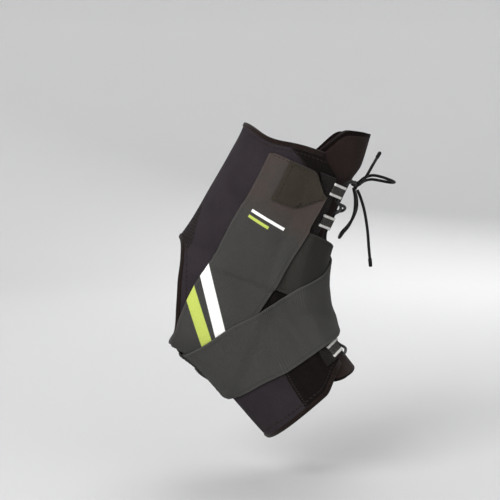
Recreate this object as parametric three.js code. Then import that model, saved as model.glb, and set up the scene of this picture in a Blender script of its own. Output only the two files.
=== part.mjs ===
// A lace-up ankle brace for the right foot, worn form, in millimetres with +Z up and the toes toward +X.
// The origin is the centre of the ankle. The leg leans forward and the sole slopes down toward the toes.
import * as THREE from "three";
import { mergeVertices } from "three/addons/utils/BufferGeometryUtils.js";

// Leg and foot form
const FORM_LENGTH = 170;
const FORM_HEIGHT = 260;
const FORM_HALF_WIDTH = 39;
const STEP = 1e-3;

// Layers
const TONGUE_THICKNESS = 4;
const TONGUE_EDGE_THICKNESS = 1.8;
const BOOT_THICKNESS = 2.5;
const STRIP_THICKNESS = 0.9;
const STRAP_THICKNESS = 1.5;
const TAB_THICKNESS = 1.2;
const BINDING_WIDTH = 3.4;
const BINDING_THICKNESS = 2.8;
const BINDING_BEVEL = 0.8;
const GAP = 0.8;
const TONGUE_GAP = 0.85;
const EDGE_GAP = 0.35;

// Ramps over which one layer rises over another, measured from the lower layer's edge
const TONGUE_EDGE_RAMP = 7;
const BOOT_EDGE_RAMP = 9;
const BOOT_RAMP = { from: 3, to: 12 };
const LACING_RAMP = { from: 7, to: 20 };

// Outlines, in rows down the form and turns round it
const RIM_ROW = 1.03;
const RIM_SAG = 0.16;
const RIM_SAG_TURN = 0.35;
const FOOT_ROW = 12.35;
const FOOT_RISE = 0.7;
const FOOT_RISE_TURNS = { inner: 0.22, outer: 0.5 };
const OPENING_TOP = 4.42;
const OPENING_FOOT = 8.62;
const OPENING_DEPTH = 0.335;
const OPENING_POWER = 0.35;
const TONGUE_TOP = 0.12;
const TONGUE_FOOT = 12.95;
const TONGUE_LAP = 0.12;
const TONGUE_BOW = 0.62;
const TONGUE_DROP = 0.55;
const TONGUE_RISE = 0.75;
const TONGUE_SHOULDER = { inner: 0.6, outer: 0.8 };
const TONGUE_FLARE = { height: 2.6, topRow: 0.85, footRow: 1.4, innerTurn: 0.15, outerTurn: 0.33 };

// Lacing
const LACE_DIAMETER = 2.2;
const LACE_SIDES = 6;
const STRIP_WIDTH = 11;
const STRIP_SETBACK = 1.6;
const LOOP_WIDTH = 10;
const LOOP_WALL = 0.7;
const LOOP_NOSE = 4.8;
const LOOP_HEIGHT = 8.3;
const LACING_RISE = 4;
const LOOP_ROWS = [10.9, 9.2, 7.2, 5.1, 2.95, 1.85];

// Straps
const CROSS_WIDTH = 47;
const SIDE_WIDTH = 50;
const TAB_LENGTH = 32;
const TAB_INSET = 16;
const LAP_MARGIN = 6.5;
const LAP_RAMP = 5;

// Sections of the bare leg and foot, from the shin down over the ankle to the middle of the foot.
// Back and front points are shares of the form's length and height, half widths of its half width.
const FORM = [
  { aftX: 0.013, aftZ: 0.577, foreX: 0.485, foreZ: 0.456, half: 0.987, wide: 0.52, front: 2, back: 2 },
  { aftX: -0.022, aftZ: 0.467, foreX: 0.437, foreZ: 0.352, half: 0.949, wide: 0.52, front: 2, back: 2 },
  { aftX: -0.088, aftZ: 0.381, foreX: 0.379, foreZ: 0.271, half: 0.885, wide: 0.52, front: 2, back: 2 },
  { aftX: -0.172, aftZ: 0.286, foreX: 0.326, foreZ: 0.196, half: 0.833, wide: 0.5, front: 2, back: 2 },
  { aftX: -0.26, aftZ: 0.188, foreX: 0.282, foreZ: 0.121, half: 0.833, wide: 0.46, front: 2, back: 2 },
  { aftX: -0.362, aftZ: 0.098, foreX: 0.265, foreZ: 0.063, half: 0.846, wide: 0.44, front: 2.1, back: 2 },
  { aftX: -0.454, aftZ: 0.017, foreX: 0.26, foreZ: 0.014, half: 0.859, wide: 0.46, front: 2.1, back: 2.1 },
  { aftX: -0.485, aftZ: -0.058, foreX: 0.265, foreZ: -0.026, half: 0.872, wide: 0.5, front: 2.1, back: 2.3 },
  { aftX: -0.425, aftZ: -0.125, foreX: 0.274, foreZ: -0.063, half: 0.872, wide: 0.54, front: 2.1, back: 2.35 },
  { aftX: -0.301, aftZ: -0.169, foreX: 0.296, foreZ: -0.101, half: 0.885, wide: 0.6, front: 2.1, back: 2.45 },
  { aftX: -0.182, aftZ: -0.236, foreX: 0.322, foreZ: -0.136, half: 0.897, wide: 0.64, front: 2.1, back: 2.55 },
  { aftX: -0.072, aftZ: -0.315, foreX: 0.357, foreZ: -0.17, half: 0.923, wide: 0.66, front: 2.1, back: 2.6 },
  { aftX: 0.035, aftZ: -0.396, foreX: 0.397, foreZ: -0.205, half: 0.962, wide: 0.68, front: 2.1, back: 2.6 },
  { aftX: 0.11, aftZ: -0.447, foreX: 0.437, foreZ: -0.239, half: 1, wide: 0.7, front: 2.1, back: 2.6 },
];

// Half the gap down the front, in turns, from the rim to the foot end
const FRONT_GAP = [
  { row: 1, turn: 0.4 },
  { row: 1.2, turn: 0.345 },
  { row: 1.45, turn: 0.27 },
  { row: 1.75, turn: 0.235 },
  { row: 2.2, turn: 0.215 },
  { row: 3, turn: 0.19 },
  { row: 4.5, turn: 0.175 },
  { row: 8, turn: 0.175 },
  { row: 10, turn: 0.2 },
  { row: 11.7, turn: 0.24 },
  { row: 13, turn: 0.26 },
];

// Centreline of the first figure-eight strap; the second one mirrors the turns after its own start.
// Past a whole turn the line has gone under the sole and climbs the other side.
const UNDER_STRAP_START = [
  { row: 4.1, turn: -0.6 },
  { row: 4.35, turn: -0.4 },
  { row: 4.85, turn: -0.22 },
  { row: 5.7, turn: -0.02 },
  { row: 6.9, turn: 0.12 },
];
const OVER_STRAP_START = [
  { row: 4.6, turn: -0.6 },
  { row: 4.85, turn: -0.42 },
  { row: 5.4, turn: -0.24 },
  { row: 6.5, turn: -0.05 },
  { row: 7.56, turn: 0.075 },
];
const STRAP_REST = [
  { row: 8.5, turn: 0.254 },
  { row: 9.1, turn: 0.437 },
  { row: 9.54, turn: 0.605 },
  { row: 9.9, turn: 0.76 },
  { row: 9.93, turn: 1 },
  { row: 9.1, turn: 1.25 },
  { row: 7.5, turn: 1.443 },
  { row: 5.61, turn: 1.552 },
  { row: 3.79, turn: 1.556 },
  { row: 1.51, turn: 1.535 },
];

const group = new THREE.Group();
group.name = "ankle_brace";

function clamp(value, low, high) {
  return Math.min(Math.max(value, low), high);
}

function ease(value, from, to) {
  const t = clamp((value - from) / (to - from), 0, 1);
  return t * t * (3 - 2 * t);
}

function blend(from, to, share) {
  return from + (to - from) * share;
}

function cubic(a, b, c, d, t) {
  return b + 0.5 * t * (c - a + t * (2 * a - 5 * b + 4 * c - d + t * (3 * (b - c) + d - a)));
}

function column(name, row) {
  const last = FORM.length - 1;
  const i = clamp(Math.floor(row), 0, last - 1);
  const at = (k) => FORM[clamp(k, 0, last)][name];
  return cubic(at(i - 1), at(i), at(i + 1), at(i + 2), row - i);
}

// A point of the bare form: turn 0 is the front, positive turns pass the outer side of the foot (-Y).
function skin(row, turn) {
  const back = [column("aftX", row) * FORM_LENGTH, column("aftZ", row) * FORM_HEIGHT];
  const front = [column("foreX", row) * FORM_LENGTH, column("foreZ", row) * FORM_HEIGHT];
  const widest = column("wide", row);
  const cos = Math.cos(turn * Math.PI);
  const sin = Math.sin(turn * Math.PI);
  const power = cos > 0 ? column("front", row) : column("back", row);
  const radius = (Math.abs(cos) ** power + Math.abs(sin) ** power) ** (-1 / power);
  const along = widest + radius * cos * (cos > 0 ? 1 - widest : widest);
  return new THREE.Vector3(
    blend(back[0], front[0], along),
    -column("half", row) * FORM_HALF_WIDTH * radius * sin,
    blend(back[1], front[1], along),
  );
}

function normal(row, turn) {
  const down = skin(row + STEP, turn).sub(skin(row - STEP, turn));
  const round = skin(row, turn + STEP).sub(skin(row, turn - STEP));
  return round.cross(down).normalize();
}

function raised(row, turn, height) {
  return skin(row, turn).addScaledVector(normal(row, turn), height);
}

// Half the girth at a row, which turns a share of a turn into millimetres.
const GIRTH_STEPS = 24;
const girths = FORM.map((_, row) => {
  let sum = 0;
  for (let k = 0; k < GIRTH_STEPS; k += 1) {
    sum += skin(row, k / GIRTH_STEPS).distanceTo(skin(row, (k + 1) / GIRTH_STEPS));
  }
  return sum;
});

function halfGirth(row) {
  const i = clamp(Math.floor(row), 0, girths.length - 2);
  return blend(girths[i], girths[i + 1], clamp(row - i, 0, 1));
}

function frontGap(row) {
  const last = FRONT_GAP.length - 1;
  const found = FRONT_GAP.findIndex((entry) => entry.row > row);
  const i = found < 0 ? last - 1 : Math.max(found - 1, 0);
  const at = (k) => FRONT_GAP[clamp(k, 0, last)];
  const share = clamp((row - at(i).row) / (at(i + 1).row - at(i).row), 0, 1);
  return cubic(at(i - 1).turn, at(i).turn, at(i + 1).turn, at(i + 2).turn, share);
}

function sideTurn(turn) {
  const wrapped = Math.abs(turn) % 2;
  return wrapped > 1 ? 2 - wrapped : wrapped;
}

// Distance in millimetres outward from the edge of the front gap, negative inside the gap
function fromGap(row, turn) {
  return (sideTurn(turn) - frontGap(row)) * halfGirth(row);
}

function tongueHalf(row) {
  return frontGap(row) + TONGUE_LAP;
}

function tongueFlare(row, turn) {
  const { height, topRow, footRow, innerTurn, outerTurn } = TONGUE_FLARE;
  return height * (1 - ease(row, topRow, footRow)) * (1 - ease(sideTurn(turn), innerTurn, outerTurn));
}

function tongueThickness(row, turn) {
  const inset = (tongueHalf(row) - sideTurn(turn)) * halfGirth(row);
  return blend(TONGUE_EDGE_THICKNESS, TONGUE_THICKNESS, ease(inset, 0, TONGUE_EDGE_RAMP));
}

// Heights of the layers over the bare form
function bootInner(row, turn) {
  const past = (sideTurn(turn) - tongueHalf(row)) * halfGirth(row);
  const inset = ease(-past, 0, BOOT_EDGE_RAMP);
  const full = blend(TONGUE_EDGE_THICKNESS, TONGUE_THICKNESS, inset) + TONGUE_GAP;
  return full * (1 - ease(past, BOOT_RAMP.from, BOOT_RAMP.to));
}

function bootOuter(row, turn) {
  return bootInner(row, turn) + BOOT_THICKNESS;
}

function strapBase(row, turn) {
  const lacing = 1 - ease(fromGap(row, turn), LACING_RAMP.from, LACING_RAMP.to);
  return bootOuter(row, turn) + GAP + LACING_RISE * lacing;
}

// Collects triangles of one closed body and turns them into a named mesh
function addSolid(name, material, faces) {
  let volume = 0;
  const corner = new THREE.Vector3();
  faces.forEach(([a, b, c]) => {
    volume += corner.crossVectors(a, b).dot(c);
  });
  const positions = [];
  faces.forEach(([a, b, c]) => {
    const order = volume > 0 ? [a, b, c] : [a, c, b];
    order.forEach((p) => positions.push(p.x, p.y, p.z));
  });
  const geometry = new THREE.BufferGeometry();
  geometry.setAttribute("position", new THREE.Float32BufferAttribute(positions, 3));
  addGeometry(name, material, geometry);
}

function addGeometry(name, material, geometry) {
  geometry.deleteAttribute("normal");
  geometry.deleteAttribute("uv");
  const merged = mergeVertices(geometry, 1e-4);
  merged.computeVertexNormals();
  const mesh = new THREE.Mesh(merged, material());
  mesh.name = name;
  group.add(mesh);
}

function quad(faces, a, b, c, d) {
  faces.push([a, b, c], [a, c, d]);
}

// A sheet between an inner and an outer grid, with walls round its edge. A cut column leaves a slit open.
function sheetFaces(outer, inner, cut = -1) {
  const faces = [];
  const rows = outer.length - 1;
  const columns = outer[0].length - 1;
  const same = (i, j) => outer[i][j].distanceTo(outer[i][j + 1]) < 1e-6;
  for (let i = 0; i < rows; i += 1) {
    for (let j = 0; j < columns; j += 1) {
      if (j !== cut) {
        quad(faces, outer[i][j], outer[i][j + 1], outer[i + 1][j + 1], outer[i + 1][j]);
        quad(faces, inner[i][j], inner[i + 1][j], inner[i + 1][j + 1], inner[i][j + 1]);
      }
    }
    quad(faces, outer[i][0], outer[i + 1][0], inner[i + 1][0], inner[i][0]);
    quad(faces, outer[i][columns], inner[i][columns], inner[i + 1][columns], outer[i + 1][columns]);
    if (cut >= 0 && !(same(i, cut) && same(i + 1, cut))) {
      quad(faces, outer[i][cut], inner[i][cut], inner[i + 1][cut], outer[i + 1][cut]);
      quad(faces, outer[i][cut + 1], outer[i + 1][cut + 1], inner[i + 1][cut + 1], inner[i][cut + 1]);
    }
  }
  for (let j = 0; j < columns; j += 1) {
    if (j !== cut) {
      quad(faces, outer[0][j], inner[0][j], inner[0][j + 1], outer[0][j + 1]);
      quad(faces, outer[rows][j], outer[rows][j + 1], inner[rows][j + 1], inner[rows][j]);
    }
  }
  return faces.filter(([a, b, c]) => b.clone().sub(a).cross(c.clone().sub(a)).length() > 1e-9);
}

// A band of ring sections, closed on itself or capped at both ends
function bandFaces(rings, closed) {
  const faces = [];
  const count = rings.length;
  const sides = rings[0].length;
  const last = closed ? count : count - 1;
  for (let i = 0; i < last; i += 1) {
    const here = rings[i];
    const next = rings[(i + 1) % count];
    for (let k = 0; k < sides; k += 1) {
      const m = (k + 1) % sides;
      quad(faces, here[k], here[m], next[m], next[k]);
    }
  }
  if (!closed) {
    for (let k = 1; k < sides - 1; k += 1) {
      faces.push([rings[0][0], rings[0][k + 1], rings[0][k]]);
      faces.push([rings[count - 1][0], rings[count - 1][k], rings[count - 1][k + 1]]);
    }
  }
  return faces;
}

// Materials
const PALETTE = {
  neoprene: [0x3d3840, 0.9],
  tongue: [0x322b2b, 0.9],
  binding: [0x2c2422, 0.8],
  webbing: [0x454342, 0.85],
  strip: [0x201f20, 0.8],
  tab: [0x44403a, 0.9],
  loop: [0x8f8d8b, 0.7],
  lace: [0x1c1b1c, 0.75],
};

function material(key) {
  return () => {
    const [color, roughness] = PALETTE[key];
    const made = new THREE.MeshStandardMaterial({ color, roughness, metalness: 0 });
    made.name = key;
    return made;
  };
}

// Tongue
const TONGUE_ROWS = 20;
const TONGUE_COLUMNS = 10;

function tongueSpot(i, j) {
  const across = (2 * j) / TONGUE_COLUMNS - 1;
  const shoulder = ease(Math.abs(across), TONGUE_SHOULDER.inner, TONGUE_SHOULDER.outer);
  const top = TONGUE_TOP + TONGUE_BOW * across ** 2 + TONGUE_DROP * shoulder;
  const foot = TONGUE_FOOT - TONGUE_RISE * across ** 2;
  const row = blend(top, foot, i / TONGUE_ROWS);
  return [row, across * tongueHalf(row)];
}

const tongueOuter = [];
const tongueInner = [];
for (let i = 0; i <= TONGUE_ROWS; i += 1) {
  const spots = Array.from({ length: TONGUE_COLUMNS + 1 }, (_, j) => tongueSpot(i, j));
  tongueInner.push(spots.map(([row, turn]) => raised(row, turn, tongueFlare(row, turn))));
  tongueOuter.push(spots.map(([row, turn]) => {
    return raised(row, turn, tongueFlare(row, turn) + tongueThickness(row, turn));
  }));
}
addSolid("tongue", material("tongue"), sheetFaces(tongueOuter, tongueInner));

// Boot
const BOOT_COLUMNS = 11;
const COLUMN_POWER = 1.2;
const SPAN = FOOT_ROW - RIM_ROW;
const OPEN_FROM = (OPENING_TOP - RIM_ROW) / SPAN;
const OPEN_TO = (OPENING_FOOT - RIM_ROW) / SPAN;
const OPENING_SHARES = [
  0, 0.004, 0.025, 0.07, 0.15, 0.25, 0.37, 0.5, 0.63, 0.75, 0.85, 0.93, 0.975, 0.996, 1,
];
const UPPER_STEPS = 12;
const LOWER_STEPS = 8;

function bootRow(share, turn) {
  const side = sideTurn(turn);
  const rim = RIM_ROW + RIM_SAG * Math.sin(Math.PI * ease(side, RIM_SAG_TURN, 1)) ** 2;
  const foot = FOOT_ROW - FOOT_RISE * (1 - ease(side, FOOT_RISE_TURNS.inner, FOOT_RISE_TURNS.outer));
  return blend(rim, foot, share);
}

function openingTurn(share) {
  const t = (share - OPEN_FROM) / (OPEN_TO - OPEN_FROM);
  if (t <= 0 || t >= 1) {
    return 1;
  }
  return 1 - OPENING_DEPTH * Math.sin(Math.PI * t) ** OPENING_POWER;
}

function gapTurn(share) {
  return frontGap(blend(RIM_ROW, FOOT_ROW - FOOT_RISE, share));
}

const bootShares = [];
for (let i = 0; i < UPPER_STEPS; i += 1) {
  bootShares.push((OPEN_FROM * i) / UPPER_STEPS);
}
OPENING_SHARES.forEach((share) => bootShares.push(blend(OPEN_FROM, OPEN_TO, share)));
for (let i = 1; i <= LOWER_STEPS; i += 1) {
  bootShares.push(blend(OPEN_TO, 1, i / LOWER_STEPS));
}

function bootSpots(share) {
  const spots = [];
  for (let j = 0; j <= BOOT_COLUMNS; j += 1) {
    const turn = blend(gapTurn(share), openingTurn(share), (j / BOOT_COLUMNS) ** COLUMN_POWER);
    spots.push([bootRow(share, turn), turn]);
  }
  return spots;
}

function bothSides(spots, height) {
  const outer = spots.map(([row, turn]) => raised(row, turn, height(row, turn)));
  const inner = spots.map(([row, turn]) => raised(row, -turn, height(row, turn)));
  const meets = spots[spots.length - 1][1] === 1;
  if (meets) {
    inner[inner.length - 1] = outer[outer.length - 1].clone();
  }
  return [...outer, ...inner.reverse()];
}

const bootSkin = bootShares.map(bootSpots);
addSolid("boot", material("neoprene"), sheetFaces(
  bootSkin.map((spots) => bothSides(spots, bootOuter)),
  bootSkin.map((spots) => bothSides(spots, bootInner)),
  BOOT_COLUMNS,
));

// Bindings along the edges of the boot, each a flat ring section just past the edge
function edgeRings(spots, closed) {
  const middle = spots.map(([row, turn]) => raised(row, turn, bootInner(row, turn) + BOOT_THICKNESS / 2));
  const count = spots.length;
  return spots.map(([row, turn], i) => {
    const before = closed ? (i + count - 1) % count : Math.max(i - 1, 0);
    const after = closed ? (i + 1) % count : Math.min(i + 1, count - 1);
    const along = middle[after].clone().sub(middle[before]).normalize();
    const out = along.clone().cross(normal(row, turn)).normalize();
    const rise = out.clone().cross(along).normalize();
    const at = (reach, height) => middle[i].clone().addScaledVector(out, reach).addScaledVector(rise, height);
    const edge = EDGE_GAP + BINDING_WIDTH;
    const bevel = edge - BINDING_BEVEL;
    const half = BINDING_THICKNESS / 2;
    return [at(EDGE_GAP, -half), at(bevel, -half), at(edge, 0), at(bevel, half), at(EDGE_GAP, half)];
  });
}

const RIM_STEPS = 15;
const rimSpots = [];
const footSpots = [];
for (let i = -RIM_STEPS; i <= RIM_STEPS; i += 1) {
  const share = Math.abs(i) / RIM_STEPS;
  const side = i < 0 ? -1 : 1;
  const rimTurn = blend(1, gapTurn(0), share);
  rimSpots.push([bootRow(0, rimTurn), side * rimTurn]);
  const footTurn = blend(1, gapTurn(1), share);
  footSpots.push([bootRow(1, footTurn), side * footTurn]);
}
addSolid("top_binding", material("binding"), bandFaces(edgeRings([...rimSpots].reverse(), false), false));
addSolid("foot_binding", material("binding"), bandFaces(edgeRings(footSpots, false), false));

const openingSpots = OPENING_SHARES.map((share) => {
  const spot = blend(OPEN_FROM, OPEN_TO, share);
  const turn = openingTurn(spot);
  return [bootRow(spot, turn), turn];
});
const openingRing = [
  ...openingSpots,
  ...openingSpots.slice(1, -1).reverse().map(([row, turn]) => [row, -turn]),
];
addSolid("heel_binding", material("binding"), bandFaces(edgeRings(openingRing, true), true));

// Lacing strips along both edges of the front gap
const STRIP_ROWS = 22;
const STRIP_TOP = 1.5;
const STRIP_FOOT = 11.45;

function addStrip(name, side) {
  const rowAt = (i) => blend(STRIP_TOP, STRIP_FOOT, i / STRIP_ROWS);
  const spot = (i, j) => {
    const row = rowAt(i);
    const reach = STRIP_SETBACK + (STRIP_WIDTH * j) / 2;
    return [row, frontGap(row) + reach / halfGirth(row)];
  };
  const level = (lift) => Array.from({ length: STRIP_ROWS + 1 }, (_, i) => [0, 1, 2].map((j) => {
    const [row, turn] = spot(i, j);
    return raised(row, side * turn, bootOuter(row, turn) + lift);
  }));
  addSolid(name, material("strip"), sheetFaces(level(GAP + STRIP_THICKNESS), level(GAP)));
}
addStrip("outer_lacing_strip", 1);
addStrip("inner_lacing_strip", -1);

// Webbing loops: two flat tails on the strip and a round nose over the gap
const TAIL_BACK = 5.5;
const TAIL_FRONT = 0.8;
const TAIL_GAP = 0.25;
const LOOP_CLEARANCE = 0.7;
const NOSE_RADIUS = LACE_DIAMETER / 2 + LOOP_CLEARANCE + LOOP_WALL / 2;
const STRIP_FACE = TONGUE_THICKNESS + TONGUE_GAP + BOOT_THICKNESS + GAP + STRIP_THICKNESS;
const TAIL_LOW = STRIP_FACE + EDGE_GAP + LOOP_WALL / 2;
const TAIL_HIGH = TAIL_LOW + LOOP_WALL + TAIL_GAP;

// The nose from the lower tail round to the upper one, in nose radii from the lace
const NOSE = [
  { reach: -0.75, height: -0.66 },
  { reach: 0, height: -1 },
  { reach: 0.7, height: -0.7 },
  { reach: 1, height: 0 },
  { reach: 0.7, height: 0.75 },
  { reach: 0, height: 1.1 },
];
const LOOP_PATH = [
  { reach: -TAIL_BACK, height: TAIL_LOW },
  { reach: TAIL_FRONT, height: TAIL_LOW },
  ...NOSE.map(({ reach, height }) => ({
    reach: LOOP_NOSE + NOSE_RADIUS * reach,
    height: LOOP_HEIGHT + NOSE_RADIUS * height,
  })),
  { reach: TAIL_FRONT, height: TAIL_HIGH },
  { reach: -TAIL_BACK, height: TAIL_HIGH },
];

// Frame at the gap's edge: the point on the bare form, toward the centre, outward and down the leg
function edgeFrame(row, side) {
  const turn = side * frontGap(row);
  const down = skin(row + STEP, turn).sub(skin(row - STEP, turn)).normalize();
  const out = normal(row, turn);
  const across = down.clone().cross(out).multiplyScalar(-side).normalize();
  return { point: skin(row, turn), across, out, down };
}

function inFrame(frame, reach, height, drop) {
  return frame.point.clone()
    .addScaledVector(frame.across, reach)
    .addScaledVector(frame.out, height)
    .addScaledVector(frame.down, drop);
}

function addLoop(name, row, side) {
  const frame = edgeFrame(row, side);
  const count = LOOP_PATH.length;
  const half = LOOP_WIDTH / 2;
  const rings = LOOP_PATH.map(({ reach, height }, i) => {
    const before = LOOP_PATH[(i + count - 1) % count];
    const after = LOOP_PATH[(i + 1) % count];
    const length = Math.hypot(after.reach - before.reach, after.height - before.height);
    const aside = ((after.height - before.height) / length) * (LOOP_WALL / 2);
    const lift = ((before.reach - after.reach) / length) * (LOOP_WALL / 2);
    return [
      inFrame(frame, reach + aside, height + lift, -half),
      inFrame(frame, reach + aside, height + lift, half),
      inFrame(frame, reach - aside, height - lift, half),
      inFrame(frame, reach - aside, height - lift, -half),
    ];
  });
  addSolid(name, material("loop"), bandFaces(rings, true));
}

LOOP_ROWS.forEach((row, i) => {
  addLoop(`outer_loop_${LOOP_ROWS.length - i}`, row, 1);
  addLoop(`inner_loop_${LOOP_ROWS.length - i}`, row, -1);
});

// Cords
function addCord(name, points, steps) {
  const path = new THREE.CatmullRomCurve3(points, false, "centripetal");
  const shape = new THREE.Shape();
  const radius = LACE_DIAMETER / 2;
  for (let k = 0; k < LACE_SIDES; k += 1) {
    const angle = (2 * Math.PI * k) / LACE_SIDES;
    const spot = [radius * Math.cos(angle), radius * Math.sin(angle)];
    if (k === 0) {
      shape.moveTo(...spot);
    } else {
      shape.lineTo(...spot);
    }
  }
  shape.closePath();
  addGeometry(name, material("lace"), new THREE.ExtrudeGeometry(shape, { steps, extrudePath: path }));
}

// Lacing: both strands zigzag down through the loops and join across the lowest pair
const KNOT_ROW = 1.5;
const KNOT_LIFT = 4.6;
const KNOT_HEIGHT = TONGUE_THICKNESS + KNOT_LIFT;
const KNOT_RADIUS = 3.4;
const SHOULDER_ROW = 1.4;
const SHOULDER_TURN = 0.12;
const UNDER_HEIGHT = TONGUE_THICKNESS + 2 * GAP + LACE_DIAMETER / 2;
const OVER_HEIGHT = UNDER_HEIGHT + LACE_DIAMETER + EDGE_GAP;
const LOOP_EXIT = 1.6;
const LOOP_REACH = LOOP_WIDTH / 2 + LOOP_EXIT;
const JOIN_DROP = 0.75;
const LACING_STEPS = 128;
const CROSSING_SHARE = 0.3;
const CROSSING_SLOPE = 0.3;
const knot = raised(KNOT_ROW, 0, KNOT_HEIGHT);

function strand(startSide, height) {
  const points = [];
  let side = startSide;
  for (let i = LOOP_ROWS.length - 1; i >= 0; i -= 1) {
    const frame = edgeFrame(LOOP_ROWS[i], side);
    [-LOOP_REACH, 0, LOOP_REACH].forEach((drop) => {
      points.push(inFrame(frame, LOOP_NOSE, LOOP_HEIGHT, drop));
    });
    if (i > 0) {
      const middle = (LOOP_ROWS[i] + LOOP_ROWS[i - 1]) / 2;
      const aside = side * frontGap(middle) * CROSSING_SHARE;
      const drift = (LOOP_ROWS[i - 1] - LOOP_ROWS[i]) * CROSSING_SHARE * CROSSING_SLOPE;
      points.push(raised(middle - drift, aside, height));
      points.push(raised(middle + drift, -aside, height));
    }
    side = -side;
  }
  return points;
}

const upperStrand = strand(1, OVER_HEIGHT);
const lowerStrand = strand(-1, UNDER_HEIGHT);
const fromKnot = [1, -1].map((side) => {
  const frame = edgeFrame(LOOP_ROWS[LOOP_ROWS.length - 1], side);
  const toward = inFrame(frame, LOOP_NOSE, KNOT_HEIGHT, -LOOP_REACH).sub(knot).normalize();
  return knot.clone().addScaledVector(toward, KNOT_RADIUS + EDGE_GAP);
});
const shoulders = [1, -1].map((side) => raised(SHOULDER_ROW, side * SHOULDER_TURN, OVER_HEIGHT));
const lowest = raised(LOOP_ROWS[0] + JOIN_DROP, 0, UNDER_HEIGHT + EDGE_GAP);
addCord("lacing", [
  fromKnot[0],
  shoulders[0],
  ...upperStrand,
  lowest,
  ...lowerStrand.reverse(),
  shoulders[1],
  fromKnot[1],
], LACING_STEPS);

// Bow knot, its two loops and its two ends
const KNOT_SIZE = { length: 7, width: 6, height: 6.4 };
const knotShape = new THREE.SphereGeometry(1, 14, 10);
knotShape.scale(KNOT_SIZE.length / 2, KNOT_SIZE.width / 2, KNOT_SIZE.height / 2);
knotShape.translate(knot.x, knot.y, knot.z);
addGeometry("bow_knot", material("lace"), knotShape);

// Paths of the laces from the knot, as shares of how far each one reaches
const NEAR_BOW_DROP = 38;
const FAR_BOW_REACH = 30;
const HANGING_DROP = 54;
const UPPER_RISE = 20.8;
const NEAR_BOW = [
  { x: -0.032, y: -0.063, z: -0.076 },
  { x: 0.011, y: -0.121, z: -0.211 },
  { x: 0.016, y: -0.137, z: -0.421 },
  { x: -0.058, y: -0.142, z: -0.632 },
  { x: -0.168, y: -0.142, z: -0.795 },
  { x: -0.263, y: -0.142, z: -0.895 },
  { x: -0.311, y: -0.179, z: -0.968 },
  { x: -0.329, y: -0.266, z: -1 },
  { x: -0.311, y: -0.353, z: -0.968 },
  { x: -0.263, y: -0.389, z: -0.895 },
  { x: -0.158, y: -0.389, z: -0.763 },
  { x: -0.053, y: -0.358, z: -0.526 },
  { x: -0.021, y: -0.237, z: -0.25 },
  { x: -0.042, y: -0.089, z: -0.047 },
];
const FAR_BOW = [
  { x: 0.09, y: 0.047, z: 0.08 },
  { x: 0.233, y: 0.08, z: 0.193 },
  { x: 0.433, y: 0.087, z: 0.253 },
  { x: 0.667, y: 0.087, z: 0.213 },
  { x: 0.84, y: 0.09, z: 0.153 },
  { x: 0.953, y: 0.137, z: 0.107 },
  { x: 1, y: 0.247, z: 0.077 },
  { x: 0.953, y: 0.357, z: 0.067 },
  { x: 0.84, y: 0.403, z: 0.08 },
  { x: 0.667, y: 0.4, z: 0.113 },
  { x: 0.433, y: 0.333, z: 0.147 },
  { x: 0.233, y: 0.187, z: 0.107 },
  { x: 0.1, y: 0.08, z: 0.02 },
];
const HANGING_END = [
  { x: 0.026, y: -0.03, z: -0.059 },
  { x: 0.063, y: -0.056, z: -0.148 },
  { x: 0.119, y: -0.074, z: -0.333 },
  { x: 0.165, y: -0.085, z: -0.611 },
  { x: 0.185, y: -0.089, z: -0.852 },
  { x: 0.2, y: -0.093, z: -1 },
];
const UPPER_END = [
  { x: 0.178, y: -0.087, z: 0.091 },
  { x: 0.221, y: -0.337, z: 0.173 },
  { x: 0.346, y: -0.615, z: 0.375 },
  { x: 0.519, y: -0.654, z: 0.692 },
  { x: 0.731, y: -0.337, z: 1 },
];
const TIP_LENGTH = 6;
const TIP_DIAMETER = 2.8;
const TIP_SIDES = 10;

function placed(path, reach) {
  return path.map(({ x, y, z }) => new THREE.Vector3(x, y, z).multiplyScalar(reach).add(knot));
}

const hangingPath = placed(HANGING_END, HANGING_DROP);
const upperPath = placed(UPPER_END, UPPER_RISE);
addCord("near_bow_loop", placed(NEAR_BOW, NEAR_BOW_DROP), 30);
addCord("far_bow_loop", placed(FAR_BOW, FAR_BOW_REACH), 26);
addCord("hanging_lace_end", hangingPath, 14);
addCord("upper_lace_end", upperPath, 9);

// Lace tips just past the cut ends
function addTip(name, path) {
  const [before, end] = path.slice(-2);
  const along = end.clone().sub(before).normalize();
  const tip = new THREE.CylinderGeometry(TIP_DIAMETER / 2, TIP_DIAMETER / 2, TIP_LENGTH, TIP_SIDES);
  tip.applyQuaternion(new THREE.Quaternion().setFromUnitVectors(new THREE.Vector3(0, 1, 0), along));
  const middle = end.clone().addScaledVector(along, EDGE_GAP + TIP_LENGTH / 2);
  tip.translate(middle.x, middle.y, middle.z);
  addGeometry(name, material("lace"), tip);
}
addTip("hanging_lace_tip", hangingPath);
addTip("upper_lace_tip", upperPath);

// Straps: a centreline laid on the form, marched sideways over the surface to a constant width
const LINE_SAMPLES = 240;
const TURN_STRETCH = 10;
const SAMPLE_SPAN = 6.2;
const CROSS_CELLS = 6;

function strapHeight(row, turn, layers) {
  let height = strapBase(row, turn);
  layers.forEach((layer) => {
    const share = layer.cover(row, turn);
    if (share > 0) {
      height = blend(height, Math.max(height, layer.height(row, turn) + STRAP_THICKNESS + GAP), share);
    }
  });
  return height;
}

function laid(row, turn) {
  return raised(row, turn, strapBase(row, turn));
}

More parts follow.
